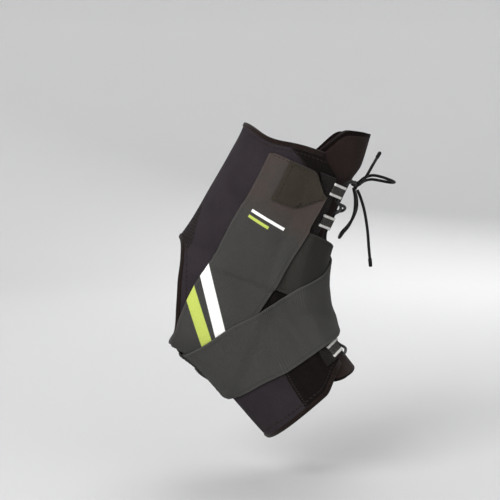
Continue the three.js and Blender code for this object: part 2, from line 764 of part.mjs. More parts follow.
function strapLine(start, side) {
  const control = [...start, ...STRAP_REST].map(({ row, turn }) => {
    return new THREE.Vector3(row, side * turn * TURN_STRETCH, 0);
  });
  const curve = new THREE.CatmullRomCurve3(control, false, "centripetal");
  const line = Array.from({ length: LINE_SAMPLES + 1 }, (_, i) => {
    const spot = curve.getPoint(i / LINE_SAMPLES);
    return { row: spot.x, turn: spot.y / TURN_STRETCH };
  });
  line.forEach((entry, i) => {
    entry.point = laid(entry.row, entry.turn);
    entry.length = i === 0 ? 0 : line[i - 1].length + entry.point.distanceTo(line[i - 1].point);
  });
  return line;
}

function spotAt(line, length) {
  const found = line.findIndex((entry) => entry.length > length);
  const i = found < 0 ? line.length - 1 : Math.max(found, 1);
  const share = clamp((length - line[i - 1].length) / (line[i].length - line[i - 1].length), 0, 1);
  return {
    row: blend(line[i - 1].row, line[i].row, share),
    turn: blend(line[i - 1].turn, line[i].turn, share),
  };
}

// One step over the laid surface in a given direction, found from the slopes in rows and turns
function stepOver(spot, direction, distance) {
  const here = laid(spot.row, spot.turn);
  const byRow = laid(spot.row + STEP, spot.turn).sub(here).divideScalar(STEP);
  const byTurn = laid(spot.row, spot.turn + STEP).sub(here).divideScalar(STEP);
  const rr = byRow.dot(byRow);
  const rt = byRow.dot(byTurn);
  const tt = byTurn.dot(byTurn);
  const dr = byRow.dot(direction);
  const dt = byTurn.dot(direction);
  const scale = distance / (rr * tt - rt * rt);
  const next = {
    row: spot.row + (dr * tt - dt * rt) * scale,
    turn: spot.turn + (dt * rr - dr * rt) * scale,
  };
  const moved = laid(next.row, next.turn).sub(here);
  return { spot: next, direction: moved.normalize() };
}

const MARCH_STEPS = 3;

function marched(spot, direction, distance, cells) {
  const spots = [];
  let state = { spot, direction };
  for (let i = 0; i < cells * MARCH_STEPS; i += 1) {
    state = stepOver(state.spot, state.direction, distance / (cells * MARCH_STEPS));
    if (i % MARCH_STEPS === MARCH_STEPS - 1) {
      spots.push(state.spot);
    }
  }
  return spots;
}

// The part of a strap between two lengths of its line, as stations of spots across its width
function strapStations(line, from, to, left, right) {
  const count = Math.round((to - from) / SAMPLE_SPAN);
  const leftCells = Math.max(Math.round((CROSS_CELLS * left) / (left + right)), 1);
  return Array.from({ length: count + 1 }, (_, i) => {
    const length = blend(from, to, i / count);
    const spot = spotAt(line, length);
    const ahead = spotAt(line, length + 1);
    const behind = spotAt(line, length - 1);
    const along = laid(ahead.row, ahead.turn).sub(laid(behind.row, behind.turn)).normalize();
    const across = along.clone().cross(normal(spot.row, spot.turn)).normalize();
    const spots = [
      ...marched(spot, across.clone().negate(), left, leftCells).reverse(),
      spot,
      ...marched(spot, across, right, CROSS_CELLS - leftCells),
    ];
    return { spots, along, across, point: laid(spot.row, spot.turn) };
  });
}

// How fully a strap covers a spot of the form, from 1 over the strap to 0 past a margin and a ramp
function coverOf(stations) {
  const edges = stations.map(({ spots, point }) => [spots[0], spots[spots.length - 1]].map((spot) => {
    return laid(spot.row, spot.turn).distanceTo(point);
  }));
  return (row, turn) => {
    const place = laid(row, turn);
    let best = null;
    for (let i = 0; i < stations.length - 1; i += 1) {
      const here = stations[i].point;
      const span = stations[i + 1].point.clone().sub(here);
      const share = clamp(place.clone().sub(here).dot(span) / span.lengthSq(), 0, 1);
      const nearest = here.clone().addScaledVector(span, share);
      const distance = nearest.distanceTo(place);
      if (!best || distance < best.distance) {
        best = { distance, share, i, nearest };
      }
    }
    const offset = place.clone().sub(best.nearest);
    const station = stations[best.i];
    const past = Math.abs(offset.dot(station.along));
    const wide = Math.sqrt(Math.max(best.distance ** 2 - past ** 2, 0));
    const side = offset.dot(station.across) > 0 ? 1 : 0;
    const edge = blend(edges[best.i][side], edges[best.i + 1][side], best.share);
    const atEnd = (best.i === 0 && best.share === 0) || (best.i === stations.length - 2 && best.share === 1);
    const beyond = atEnd ? past : 0;
    const sideways = atEnd ? wide - edge : best.distance - edge;
    const outside = Math.hypot(Math.max(beyond, 0), Math.max(sideways, 0));
    return 1 - ease(outside, LAP_MARGIN, LAP_MARGIN + LAP_RAMP);
  };
}

function addStrap(name, key, stations, layers, thickness = STRAP_THICKNESS) {
  const level = (lift) => stations.map(({ spots }) => spots.map(({ row, turn }) => {
    return raised(row, turn, strapHeight(row, turn, layers) + lift);
  }));
  addSolid(name, material(key), sheetFaces(level(thickness), level(0)));
}

function asLayer(stations, below) {
  const cover = coverOf(stations);
  return { cover, height: (row, turn) => strapHeight(row, turn, below) };
}

function seamLength(line) {
  return line.find((entry) => Math.abs(entry.turn) >= 1).length;
}

const SEAM_HALF = 0.2;
const CROSS_HALF = CROSS_WIDTH / 2;
const SIDE_HALF = SIDE_WIDTH / 2;
const underLine = strapLine(UNDER_STRAP_START, -1);
const overLine = strapLine(OVER_STRAP_START, 1);
const underSeam = seamLength(underLine);
const overSeam = seamLength(overLine);
const underEnd = underLine[LINE_SAMPLES].length;
const overEnd = overLine[LINE_SAMPLES].length;

const underCross = strapStations(underLine, 0, underSeam - SEAM_HALF, CROSS_HALF, CROSS_HALF);
const outerSide = strapStations(underLine, underSeam + SEAM_HALF, underEnd, SIDE_HALF, SIDE_HALF);
const overCross = strapStations(overLine, 0, overSeam - SEAM_HALF, CROSS_HALF, CROSS_HALF);
const innerSide = strapStations(overLine, overSeam + SEAM_HALF, overEnd, SIDE_HALF, SIDE_HALF);

const crossLayer = asLayer(underCross, []);
const outerLayer = asLayer(outerSide, [crossLayer]);
const overLayer = asLayer(overCross, [crossLayer, outerLayer]);
const lowerLayers = [crossLayer, outerLayer, overLayer];
const innerLayer = asLayer(innerSide, lowerLayers);

addStrap("under_cross_strap", "webbing", underCross, []);
addStrap("outer_side_strap", "webbing", outerSide, [crossLayer]);
addStrap("over_cross_strap", "webbing", overCross, [crossLayer, outerLayer]);
addStrap("inner_side_strap", "webbing", innerSide, lowerLayers);

// Hook tabs on the upper ends of the side straps, nearer to the front edge
const TAB_EDGE = 1;
const TAB_REAR = SIDE_HALF - TAB_INSET;
const TAB_FRONT = SIDE_HALF - TAB_EDGE;
const outerTab = strapStations(underLine, underEnd - TAB_LENGTH, underEnd, TAB_REAR, TAB_FRONT);
const innerTab = strapStations(overLine, overEnd - TAB_LENGTH, overEnd, TAB_FRONT, TAB_REAR);
addStrap("outer_tab", "tab", outerTab, [crossLayer, outerLayer], TAB_THICKNESS);
addStrap("inner_tab", "tab", innerTab, [...lowerLayers, innerLayer], TAB_THICKNESS);

export default group;
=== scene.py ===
# An ankle brace for the right foot in its worn form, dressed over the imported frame.
import math

import bmesh
import bpy
import numpy as np
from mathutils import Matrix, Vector


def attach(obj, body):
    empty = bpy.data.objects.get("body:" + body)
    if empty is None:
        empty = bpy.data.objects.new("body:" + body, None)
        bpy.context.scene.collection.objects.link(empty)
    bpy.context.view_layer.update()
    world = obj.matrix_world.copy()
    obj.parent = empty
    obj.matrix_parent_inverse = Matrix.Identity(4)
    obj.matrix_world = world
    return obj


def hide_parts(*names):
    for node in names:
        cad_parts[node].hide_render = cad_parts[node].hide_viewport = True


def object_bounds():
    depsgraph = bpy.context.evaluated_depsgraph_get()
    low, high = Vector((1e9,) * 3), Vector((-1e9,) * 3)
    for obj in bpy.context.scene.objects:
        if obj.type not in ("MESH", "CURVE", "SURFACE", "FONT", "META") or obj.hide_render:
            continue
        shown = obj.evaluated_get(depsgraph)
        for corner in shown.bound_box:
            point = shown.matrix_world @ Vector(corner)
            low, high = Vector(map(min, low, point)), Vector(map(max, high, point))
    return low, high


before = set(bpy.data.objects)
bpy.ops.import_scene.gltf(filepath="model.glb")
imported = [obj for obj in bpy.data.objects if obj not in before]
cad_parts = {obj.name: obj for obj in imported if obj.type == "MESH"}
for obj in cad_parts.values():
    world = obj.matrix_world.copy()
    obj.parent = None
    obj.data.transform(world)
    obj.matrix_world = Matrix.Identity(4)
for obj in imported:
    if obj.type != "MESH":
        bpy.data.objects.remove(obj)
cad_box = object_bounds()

MM = 0.001

# Camera: the photograph's level side view, a little from above
PHOTO_SIZE = 500
MM_PER_PIXEL = 0.75
LENS_MM = 85
SENSOR_MM = 36
ELEVATION = math.radians(5)
AIM = Vector((-1.5, 0, 28.5)) * MM


def add_camera():
    data = bpy.data.cameras.new("camera")
    data.lens = LENS_MM
    data.sensor_width = SENSOR_MM
    distance = PHOTO_SIZE * MM_PER_PIXEL * MM * LENS_MM / SENSOR_MM
    camera = bpy.data.objects.new("camera", data)
    bpy.context.collection.objects.link(camera)
    camera.location = AIM + distance * Vector((0, -math.cos(ELEVATION), math.sin(ELEVATION)))
    camera.rotation_euler = (math.radians(90) - ELEVATION, 0, 0)
    bpy.context.scene.camera = camera


# The leg and foot form, the same sections as in the CAD, in millimetres
FORM_LENGTH = 170
FORM_HEIGHT = 260
STEP = 1e-3
# Each row: back x, back z, front x, front z, half width, its place, and the powers of front and back
FORM = np.array([
    (0.013, 0.577, 0.485, 0.456, 38.5, 0.52, 2, 2),
    (-0.022, 0.467, 0.437, 0.352, 37, 0.52, 2, 2),
    (-0.088, 0.381, 0.379, 0.271, 34.5, 0.52, 2, 2),
    (-0.172, 0.286, 0.326, 0.196, 32.5, 0.5, 2, 2),
    (-0.26, 0.188, 0.282, 0.121, 32.5, 0.46, 2, 2),
    (-0.362, 0.098, 0.265, 0.063, 33, 0.44, 2.1, 2),
    (-0.454, 0.017, 0.26, 0.014, 33.5, 0.46, 2.1, 2.1),
    (-0.485, -0.058, 0.265, -0.026, 34, 0.5, 2.1, 2.3),
    (-0.425, -0.125, 0.274, -0.063, 34, 0.54, 2.1, 2.35),
    (-0.301, -0.169, 0.296, -0.101, 34.5, 0.6, 2.1, 2.45),
    (-0.182, -0.236, 0.322, -0.136, 35, 0.64, 2.1, 2.55),
    (-0.072, -0.315, 0.357, -0.17, 36, 0.66, 2.1, 2.6),
    (0.035, -0.396, 0.397, -0.205, 37.5, 0.68, 2.1, 2.6),
    (0.11, -0.447, 0.437, -0.239, 39, 0.7, 2.1, 2.6),
])
# Half the front gap in turns at rows down the form
FRONT_GAP = np.array([
    (1, 0.4), (1.2, 0.345), (1.45, 0.27), (1.75, 0.235), (2.2, 0.215), (3, 0.19),
    (4.5, 0.175), (8, 0.175), (10, 0.2), (11.7, 0.24), (13, 0.26),
])
# Centrelines of the straps as rows and turns
UNDER_STRAP_START = [(4.1, -0.6), (4.35, -0.4), (4.85, -0.22), (5.7, -0.02), (6.9, 0.12)]
OVER_STRAP_START = [(4.6, -0.6), (4.85, -0.42), (5.4, -0.24), (6.5, -0.05), (7.56, 0.075)]
STRAP_REST = [
    (8.5, 0.254), (9.1, 0.437), (9.54, 0.605), (9.9, 0.76), (9.93, 1), (9.1, 1.25),
    (7.5, 1.443), (5.61, 1.552), (3.79, 1.556), (1.51, 1.535),
]

# Layers, thinner gaps than in the CAD so that the cloth lies snug
TONGUE_THICKNESS = 4
TONGUE_EDGE_THICKNESS = 1.8
BOOT_THICKNESS = 2.5
STRIP_THICKNESS = 0.9
STRAP_THICKNESS = 1.5
TAB_THICKNESS = 1.2
SNUG = 0.25
RIM_ROW = 1.03
RIM_SAG = 0.16
FOOT_ROW = 12.35
FOOT_RISE = 0.7
OPENING_TOP = 4.42
OPENING_FOOT = 8.62
OPENING_DEPTH = 0.335
OPENING_POWER = 0.35
TONGUE_TOP = 0.12
TONGUE_FOOT = 12.95
TONGUE_LAP = 0.12
TONGUE_BOW = 0.62
TONGUE_DROP = 0.7
TONGUE_SHOULDER = (0.52, 0.95)
TONGUE_FLARE = 2.6
FLARE_ROWS = (0.85, 1.4)
FLARE_TURNS = (0.15, 0.33)
TONGUE_EDGE_RAMP = 7
BOOT_RAMP = 9
LACING_RAMP = (6, 18)
LACE_DIAMETER = 2.2
LACING_RISE = 4
CROSS_WIDTH = 47
SIDE_WIDTH = 50
TAB_LENGTH = 32
TAB_INSET = 16
LAP_MARGIN = 0.7
LAP_RAMP = 2.6
SOFT_RAMP = 11


def ease(value, low, high):
    t = np.clip((value - low) / (high - low), 0, 1)
    return t * t * (3 - 2 * t)


def blend(a, b, share):
    return a + (b - a) * share


def between(table, i, share):
    """Catmull-Rom from entry i to entry i + 1 of a table."""
    a, b, c, d = (table[np.clip(i + k, 0, len(table) - 1)] for k in (-1, 0, 1, 2))
    curve = c - a + share * (2 * a - 5 * b + 4 * c - d + share * (3 * (b - c) + d - a))
    return b + 0.5 * share * curve


def skin(row, turn):
    """A point of the bare form: turn 0 is the front, positive turns pass the outer side (-Y)."""
    row, turn = np.broadcast_arrays(np.asarray(row, float), np.asarray(turn, float))
    i = np.clip(np.floor(row).astype(int), 0, len(FORM) - 2)
    section = between(FORM, i, np.asarray(row - i)[..., None])
    back_x, back_z, front_x, front_z, half, widest, front, back = np.moveaxis(section, -1, 0)
    cos, sin = np.cos(turn * np.pi), np.sin(turn * np.pi)
    power = np.where(cos > 0, front, back)
    radius = (np.abs(cos) ** power + np.abs(sin) ** power) ** (-1 / power)
    along = widest + radius * cos * np.where(cos > 0, 1 - widest, widest)
    return np.stack([
        FORM_LENGTH * blend(back_x, front_x, along),
        -half * radius * sin,
        FORM_HEIGHT * blend(back_z, front_z, along),
    ], axis=-1)


def unit(v):
    return v / np.maximum(np.linalg.norm(v, axis=-1, keepdims=True), 1e-12)


def normal(row, turn):
    down = skin(row + STEP, turn) - skin(row - STEP, turn)
    round_it = skin(row, turn + STEP) - skin(row, turn - STEP)
    return unit(np.cross(round_it, down))


def raised(row, turn, height):
    return skin(row, turn) + normal(row, turn) * np.asarray(height)[..., None]


GIRTH_TURNS = np.linspace(0, 1, 25)
GIRTH_POINTS = skin(np.arange(len(FORM))[:, None], GIRTH_TURNS)
HALF_GIRTHS = np.linalg.norm(np.diff(GIRTH_POINTS, axis=1), axis=-1).sum(axis=1)


def half_girth(row):
    return np.interp(row, np.arange(len(FORM)), HALF_GIRTHS)


def front_gap(row):
    row = np.asarray(row, float)
    rows, turns = FRONT_GAP.T
    i = np.clip(np.searchsorted(rows, row, side="right") - 1, 0, len(rows) - 2)
    return between(turns, i, np.clip((row - rows[i]) / (rows[i + 1] - rows[i]), 0, 1))


def side_turn(turn):
    wrapped = np.abs(turn) % 2
    return np.where(wrapped > 1, 2 - wrapped, wrapped)


def from_gap(row, turn):
    return (side_turn(turn) - front_gap(row)) * half_girth(row)


def tongue_half(row):
    return front_gap(row) + TONGUE_LAP


def tongue_flare(row, turn):
    return TONGUE_FLARE * (1 - ease(row, *FLARE_ROWS)) * (1 - ease(side_turn(turn), *FLARE_TURNS))


def tongue_thickness(row, turn):
    inset = (tongue_half(row) - side_turn(turn)) * half_girth(row)
    return blend(TONGUE_EDGE_THICKNESS, TONGUE_THICKNESS, ease(inset, 0, TONGUE_EDGE_RAMP))


def boot_inner(row, turn):
    past = (side_turn(turn) - tongue_half(row)) * half_girth(row)
    full = blend(TONGUE_EDGE_THICKNESS, TONGUE_THICKNESS, ease(-past, 0, BOOT_RAMP)) + SNUG
    return full * (1 - ease(past, 1, BOOT_RAMP))


def boot_outer(row, turn):
    return boot_inner(row, turn) + BOOT_THICKNESS


def strap_base(row, turn):
    return boot_outer(row, turn) + SNUG + LACING_RISE * (1 - ease(from_gap(row, turn), *LACING_RAMP))


def laid(row, turn):
    return raised(row, turn, strap_base(row, turn))


# Straps: a centreline laid on the form, marched sideways over the surface to a constant width
LINE_SAMPLES = 480


def spline(points, count):
    """Catmull-Rom through the points, with centripetal spacing."""
    p = np.asarray(points, float)
    p = np.vstack([2 * p[0] - p[1], p, 2 * p[-1] - p[-2]])
    knots = np.sqrt(np.linalg.norm(np.diff(p, axis=0), axis=1)).cumsum()
    knots = np.concatenate([[0], knots])[:, None]
    out = []
    for share in np.linspace(0, len(points) - 1, count):
        i = min(int(share), len(points) - 2)
        k, spots = knots[i:i + 4], p[i:i + 4]
        t = blend(k[1], k[2], share - i)
        for start, stop in ((k[:3], k[1:]), (k[:2], k[2:]), (k[1:2], k[2:3])):
            spots = blend(spots[:-1], spots[1:], (t - start) / (stop - start))
        out.append(spots[0])
    return np.array(out)


def lengths(points):
    return np.concatenate([[0], np.cumsum(np.linalg.norm(np.diff(points, axis=0), axis=1))])


class Line:
    """The centreline of a strap, with the distance along it at each sample."""

    def __init__(self, start, side):
        control = [(row, side * turn * 10) for row, turn in [*start, *STRAP_REST]]
        path = spline(control, LINE_SAMPLES + 1)
        self.rows, self.turns = path[:, 0], path[:, 1] / 10
        self.reach = lengths(laid(self.rows, self.turns))
        self.end = self.reach[-1]
        self.seam = self.reach[np.argmax(np.abs(self.turns) >= 1)]

    def at(self, reach):
        return np.interp(reach, self.reach, self.rows), np.interp(reach, self.reach, self.turns)


def step_over(row, turn, direction, distance):
    """The row, turn and new direction after a short straight step over the surface."""
    here = laid(row, turn)
    by_row = (laid(row + STEP, turn) - here) / STEP
    by_turn = (laid(row, turn + STEP) - here) / STEP
    rr, rt, tt = (by_row ** 2).sum(-1), (by_row * by_turn).sum(-1), (by_turn ** 2).sum(-1)
    dr, dt = (by_row * direction).sum(-1), (by_turn * direction).sum(-1)
    scale = distance / (rr * tt - rt * rt)
    row_next = row + (dr * tt - dt * rt) * scale
    turn_next = turn + (dt * rr - dr * rt) * scale
    return row_next, turn_next, unit(laid(row_next, turn_next) - here)


class Stations:
    """The part of a strap between two reaches of its line, as rows and turns over its width."""

    def __init__(self, line, start, stop, left, right, spacing, cell):
        count = max(int(round((stop - start) / spacing)), 2)
        self.reach = np.linspace(start, stop, count + 1)
        row, turn = line.at(self.reach)
        ahead, behind = line.at(self.reach + 1), line.at(self.reach - 1)
        self.along = unit(laid(*ahead) - laid(*behind))
        self.across = unit(np.cross(self.along, normal(row, turn)))
        self.point = laid(row, turn)
        low, low_reach = self.march(row, turn, -self.across, left, cell)
        high, high_reach = self.march(row, turn, self.across, right, cell)
        spots = [*reversed(low), (row, turn), *high]
        self.row, self.turn = (np.stack(grid, axis=1) for grid in zip(*spots))
        self.width = np.array([*(-v for v in reversed(low_reach)), 0, *high_reach])
        self.place = np.repeat(self.reach[:, None], len(self.width), axis=1)
        sides = laid(self.row[:, [0, -1]], self.turn[:, [0, -1]])
        self.edges = np.linalg.norm(sides - self.point[:, None], axis=-1)

    def march(self, row, turn, direction, distance, cell):
        count = max(int(round(distance / cell)), 1)
        spots, reach = [], []
        for i in range(count):
            row, turn, direction = step_over(row, turn, direction, distance / count)
            spots.append((row, turn))
            reach.append(distance * (i + 1) / count)
        return spots, reach

    def trim(self, start, stop):
        """Cuts the strap's ends to outlines: start and stop are reaches for each place across."""
        share = (self.reach - self.reach[0]) / (self.reach[-1] - self.reach[0])
        self.place = start + share[:, None] * (stop - start)
        self.row, self.turn = (
            np.stack([np.interp(at, self.reach, old) for at, old in zip(self.place.T, grid.T)], axis=1)
            for grid in (self.row, self.turn)
        )

    def cover(self, row, turn, ramp):
        """From 1 over the strap to 0 past a margin and a ramp."""
        place = laid(row, turn)
        shape = place.shape[:-1]
        place = place.reshape(-1, 3)
        start, span = self.point[:-1], np.diff(self.point, axis=0)
        share = ((place[:, None] - start) * span).sum(-1) / (span ** 2).sum(-1)
        share = np.clip(share, 0, 1)
        nearest = start + span * share[..., None]
        distance = np.linalg.norm(place[:, None] - nearest, axis=-1)
        i = distance.argmin(axis=1)
        pick = np.arange(len(place))
        share, nearest, distance = share[pick, i], nearest[pick, i], distance[pick, i]
        offset = place - nearest
        past = np.abs((offset * self.along[i]).sum(-1))
        wide = np.sqrt(np.maximum(distance ** 2 - past ** 2, 0))
        side = ((offset * self.across[i]).sum(-1) > 0).astype(int)
        edge = blend(self.edges[i, side], self.edges[i + 1, side], share)
        at_end = ((i == 0) & (share == 0)) | ((i == len(span) - 1) & (share == 1))
        beyond = np.where(at_end, past, 0)
        sideways = np.where(at_end, wide, distance) - edge
        outside = np.hypot(np.maximum(beyond, 0), np.maximum(sideways, 0))
        return (1 - ease(outside, LAP_MARGIN, LAP_MARGIN + ramp)).reshape(shape)


class Layer:
    """A strap and the layers that it lies on."""

    def __init__(self, stations, below, ramp=LAP_RAMP):
        self.stations, self.below, self.ramp = stations, below, ramp

    def height(self, row, turn):
        return strap_height(row, turn, self.below, self.ramp)


def strap_height(row, turn, layers, ramp=LAP_RAMP):
    height = strap_base(row, turn)
    for layer in layers:
        share = layer.stations.cover(row, turn, ramp)
        top = layer.height(row, turn) + STRAP_THICKNESS + SNUG
        height = blend(height, np.maximum(height, top), share)
    return height


# Mesh making
def quads(grid):
    """The faces of a grid of vertex numbers."""
    return np.stack([grid[:-1, :-1], grid[:-1, 1:], grid[1:, 1:], grid[1:, :-1]], axis=-1).reshape(-1, 4)


def new_object(name, verts, faces, uvs, material, smooth_angle=50):
    """A mesh that faces outward; uvs holds one pair for each corner of each face."""
    mesh = bpy.data.meshes.new(name)
    mesh.from_pydata([tuple(v) for v in np.asarray(verts) * MM], [], faces)
    layer = mesh.uv_layers.new(name="UVMap")
    layer.data.foreach_set("uv", (np.asarray(uvs, float) * MM).ravel())
    mesh.validate(clean_customdata=False)
    mesh.shade_smooth()
    mesh.set_sharp_from_angle(angle=math.radians(smooth_angle))
    mesh.calc_loop_triangles()
    corners = np.array([[mesh.vertices[v].co for v in triangle.vertices] for triangle in mesh.loop_triangles])
    if np.linalg.det(corners).sum() < 0:
        mesh.flip_normals()
    mesh.materials.append(material)
    made = bpy.data.objects.new(name, mesh)
    bpy.context.collection.objects.link(made)
    return made


def ring_faces(count, sides, reach, around, closed=False):
    """Faces and UVs over equal rings; reach holds the places along, around the places round."""
    number = np.arange(count * sides).reshape(count, sides)
    number = np.pad(number, ((0, int(closed)), (0, 1)), mode="wrap")
    if np.ndim(reach) == 1:
        reach = np.repeat(np.asarray(reach)[:, None], sides, axis=1)
    reach = np.pad(reach, ((0, 0), (0, 1)), mode="wrap")
    uv = np.stack([np.broadcast_to(around, reach.shape), reach], axis=-1)
    corners = quads(np.arange(number.size).reshape(number.shape))
    faces, uvs = number.ravel()[corners].tolist(), uv.reshape(-1, 2)[corners.ravel()]
    if not closed:
        faces += [number[0, -2::-1].tolist(), number[-1, :-1].tolist()]
        uvs = np.concatenate([uvs, uv[0, -2::-1], uv[-1, :-1]])
    return faces, uvs


def ring_sheet(name, rings, reach, around, material, closed=False):
    """A solid from equal rings of points."""
    faces, uvs = ring_faces(*rings.shape[:2], reach, around, closed)
    return new_object(name, rings.reshape(-1, 3), faces, uvs, material)


def sheet_rings(outer, inner, edge_push=0.45):
    """Rings over a strap's outer face, round one edge, back over its inner face and round the other."""
    thick = np.linalg.norm(outer[:, :1] - inner[:, :1], axis=-1) * edge_push
    low = (outer[:, 0] + inner[:, 0]) / 2 + unit(outer[:, 0] - outer[:, 1]) * thick
    high = (outer[:, -1] + inner[:, -1]) / 2 + unit(outer[:, -1] - outer[:, -2]) * thick
    return np.concatenate([outer, high[:, None], inner[:, ::-1], low[:, None]], axis=1)


def over_sheet(grid):
    """A value for each place on a sheet, in the order of its rings."""
    return np.concatenate([grid, grid[:, -1:], grid[:, ::-1], grid[:, :1]], axis=1)


def ring_around(ring):
    return lengths(np.vstack([ring, ring[:1]]))


def round_rings(centre, side, other, radius, sides):
    """A ring of points round each centre, in the plane of two directions."""
    angles = 2 * np.pi * np.arange(sides)[:, None] / sides
    ring = side[..., None, :] * np.cos(angles) + other[..., None, :] * np.sin(angles)
    return centre[..., None, :] + ring * np.asarray(radius)[..., None, None]


def paint_zone(obj, name, values):
    """Stores a distance in millimetres at each point."""
    layer = obj.data.attributes.new(name, "FLOAT", "POINT")
    layer.data.foreach_set("value", np.ravel(values))


def finish_piece(piece, slot, *nodes):
    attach(piece, "root")
    if nodes:
        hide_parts(*nodes)
    return piece


def finish_sheet(piece, slot, node):
    finish_piece(piece, slot, node)


# Materials: pitches and depths in millimetres, UV and object places in metres
SPECULAR = 0.08
BOOT_COLORS = ((0.0125, 0.0098, 0.0115), (0.037, 0.03, 0.0345))
# the black panel's colours, which are also painted shade where the panel is widened between the straps
PANEL_AND_SHADE_COLORS = ((0.002, 0.0016, 0.0014), (0.009, 0.007, 0.006))
MESH_COLORS = ((0.02, 0.016, 0.016), (0.005, 0.004, 0.004))
TONGUE_COLORS = ((0.009, 0.006, 0.0055), (0.034, 0.022, 0.019))
BOUND_COLORS = ((0.002, 0.0012, 0.001), (0.008, 0.004, 0.003))
LACE_COLORS = ((0.003, 0.003, 0.003), (0.018, 0.016, 0.016))
LOOP_COLORS = ((0.012, 0.011, 0.01), (0.07, 0.066, 0.06))
BAR_COLORS = ((0.4, 0.39, 0.37), (0.75, 0.74, 0.71))
PALE_COLORS = ((0.78, 0.77, 0.75), (0.95, 0.94, 0.92))
LIME_COLORS = ((0.4, 0.47, 0.08), (0.52, 0.6, 0.135))
SEAM_COLOR = (0.004, 0.002, 0.002)
THREAD_COLOR = (0.03, 0.022, 0.022)
# colour of a painted sheen on the outer side strap
PAINTED_SHEEN_COLOR = (0.062, 0.042, 0.037)
KNIT_PITCH = 0.9
MESH_PITCH = 2.1
RIB_PITCH = 1.1
THREAD_PITCH = 0.7
BRAID_PITCH = 1.4
SEAM_PITCH = 2.6
SEAM_HALF = 0.35


class Value:
    """A number or colour that varies over a surface; arithmetic on it adds Math nodes."""

    def __init__(self, paint, socket):
        self.paint, self.socket = paint, socket

    def math(self, operation, *others):
        return self.paint.add("Math", dict(enumerate((self, *others))), operation=operation)

    def __add__(self, other):
        return self.math("ADD", other)

    def __sub__(self, other):
        return self.math("SUBTRACT", other)

    def __mul__(self, other):
        return self.math("MULTIPLY", other)


class Paint:
    """One material and what its nodes are made with."""

    def __init__(self, name, roughness=0.9, sheen=0.0, sheen_tint=(1, 1, 1)):
        self.material = bpy.data.materials.new(name)
        self.material.use_nodes = True
        self.tree = self.material.node_tree
        self.shader = self.tree.nodes["Principled BSDF"]
        gloss = {"Roughness": roughness, "Specular IOR Level": SPECULAR}
        self.fill(self.shader, {**gloss, "Sheen Weight": sheen, "Sheen Tint": sheen_tint})
        self.place = self.add("TexCoord", {}, "Object")

    def fill(self, node, inputs):
        """Links or sets a node's inputs; a tuple is a colour."""
        for key, value in inputs.items():
            if isinstance(value, Value):
                self.tree.links.new(value.socket, node.inputs[key])
            else:
                node.inputs[key].default_value = (*value, 1) if isinstance(value, tuple) else value

    def add(self, kind, inputs, output=0, **settings):
        node = self.tree.nodes.new("ShaderNode" + kind)
        for name, value in settings.items():
            setattr(node, name, value)
        self.fill(node, inputs)
        return Value(self, node.outputs[output])

    def axes(self, place, *numbers):
        return [self.add("SeparateXYZ", {0: place}, number) for number in numbers]

    def uv(self):
        """The UV map, as width and length."""
        return self.axes(self.add("UVMap", {}, uv_map="UVMap"), 0, 1)

    def zone(self, name):
        return self.add("Attribute", {}, "Fac", attribute_name=name)

    def noise(self, scale, detail=3):
        inputs = {"Vector": self.place, "Scale": scale, "Detail": detail, "Roughness": 0.55}
        return self.add("TexNoise", inputs, "Fac")

    def mix(self, share, low, high):
        return self.add("Mix", {0: share, 6: low, 7: high}, 2, data_type="RGBA")

    def spread(self, value, low, high):
        """From 0 at low to 1 at high."""
        return self.add("MapRange", {"Value": value, "From Min": low, "From Max": high})

    def band(self, value, low, high, soft):
        """1 between low and high, with soft sides."""
        return self.spread(value, low - soft, low + soft) * self.spread(value, high + soft, high - soft)

    def waves(self, axis, pitch):
        """A wave from 0 to 1 along an axis."""
        return (axis * (2 * math.pi / (pitch * MM))).math("SINE") * 0.5 + 0.5

    def relief(self, *steps, below=None):
        """Bumps on each other, each given as its height, depth and strength."""
        for height, depth, strength in steps:
            inputs = {"Height": height, "Distance": depth * MM, "Strength": strength}
            if below is not None:
                inputs["Normal"] = below
            below = self.add("Bump", inputs)
        return below

    def seam(self, distance, place):
        """A stitched groove at a distance in millimetres from an edge: the groove and its threads."""
        width, length = self.uv()
        groove = self.band(distance, place - SEAM_HALF, place + SEAM_HALF, 0.25)
        return groove, groove * self.spread(self.waves(width + length, SEAM_PITCH), 0.3, 0.45)

    def knit(self, dark, light, pitch=KNIT_PITCH):
        """Fine knit over foam: small stitches both ways and soft mottling; its colour and relief."""
        width, length = self.uv()
        stitch = self.waves(width, pitch) * self.waves(length, pitch * 0.8)
        mottle, fine = self.noise(38, 4), self.noise(900, 2)
        tone = stitch * 0.4 + mottle * 0.7 + fine * 0.3
        color = self.mix(self.spread(tone, 0.25, 1.05), dark, light)
        return color, self.relief((stitch, 0.12, 0.8), (mottle, 0.5, 0.35), (fine, 0.1, 0.5))

    def finish(self, color, relief):
        self.fill(self.shader, {"Base Color": color, "Normal": relief})
        return self.material


def nap_material(name, dark, light):
    paint = Paint(name, 0.94, 0.02, (0.85, 0.8, 0.95))
    return paint.finish(*paint.knit(dark, light, 1.3))


def tongue_material():
    """Padded knit with a dark bound edge and a stitched line inside it."""
    paint = Paint("tongue_cloth", 0.95, 0.015, (0.9, 0.8, 0.8))
    color, relief = paint.knit(*TONGUE_COLORS, 1.2)
    edge = paint.zone("edge")
    bound = paint.band(edge, -9, 2.6, 0.2)
    color = paint.mix(bound, color, paint.mix(paint.noise(700), *BOUND_COLORS))
    groove, thread = paint.seam(edge, 3.4)
    color = paint.mix(thread * 0.7, color, THREAD_COLOR)
    steps = (bound, 0.5, 0.8), (groove, -0.4, 0.8), (paint.noise(60, 2), 1.4, 0.5)
    return paint.finish(color, paint.relief(*steps, below=relief))


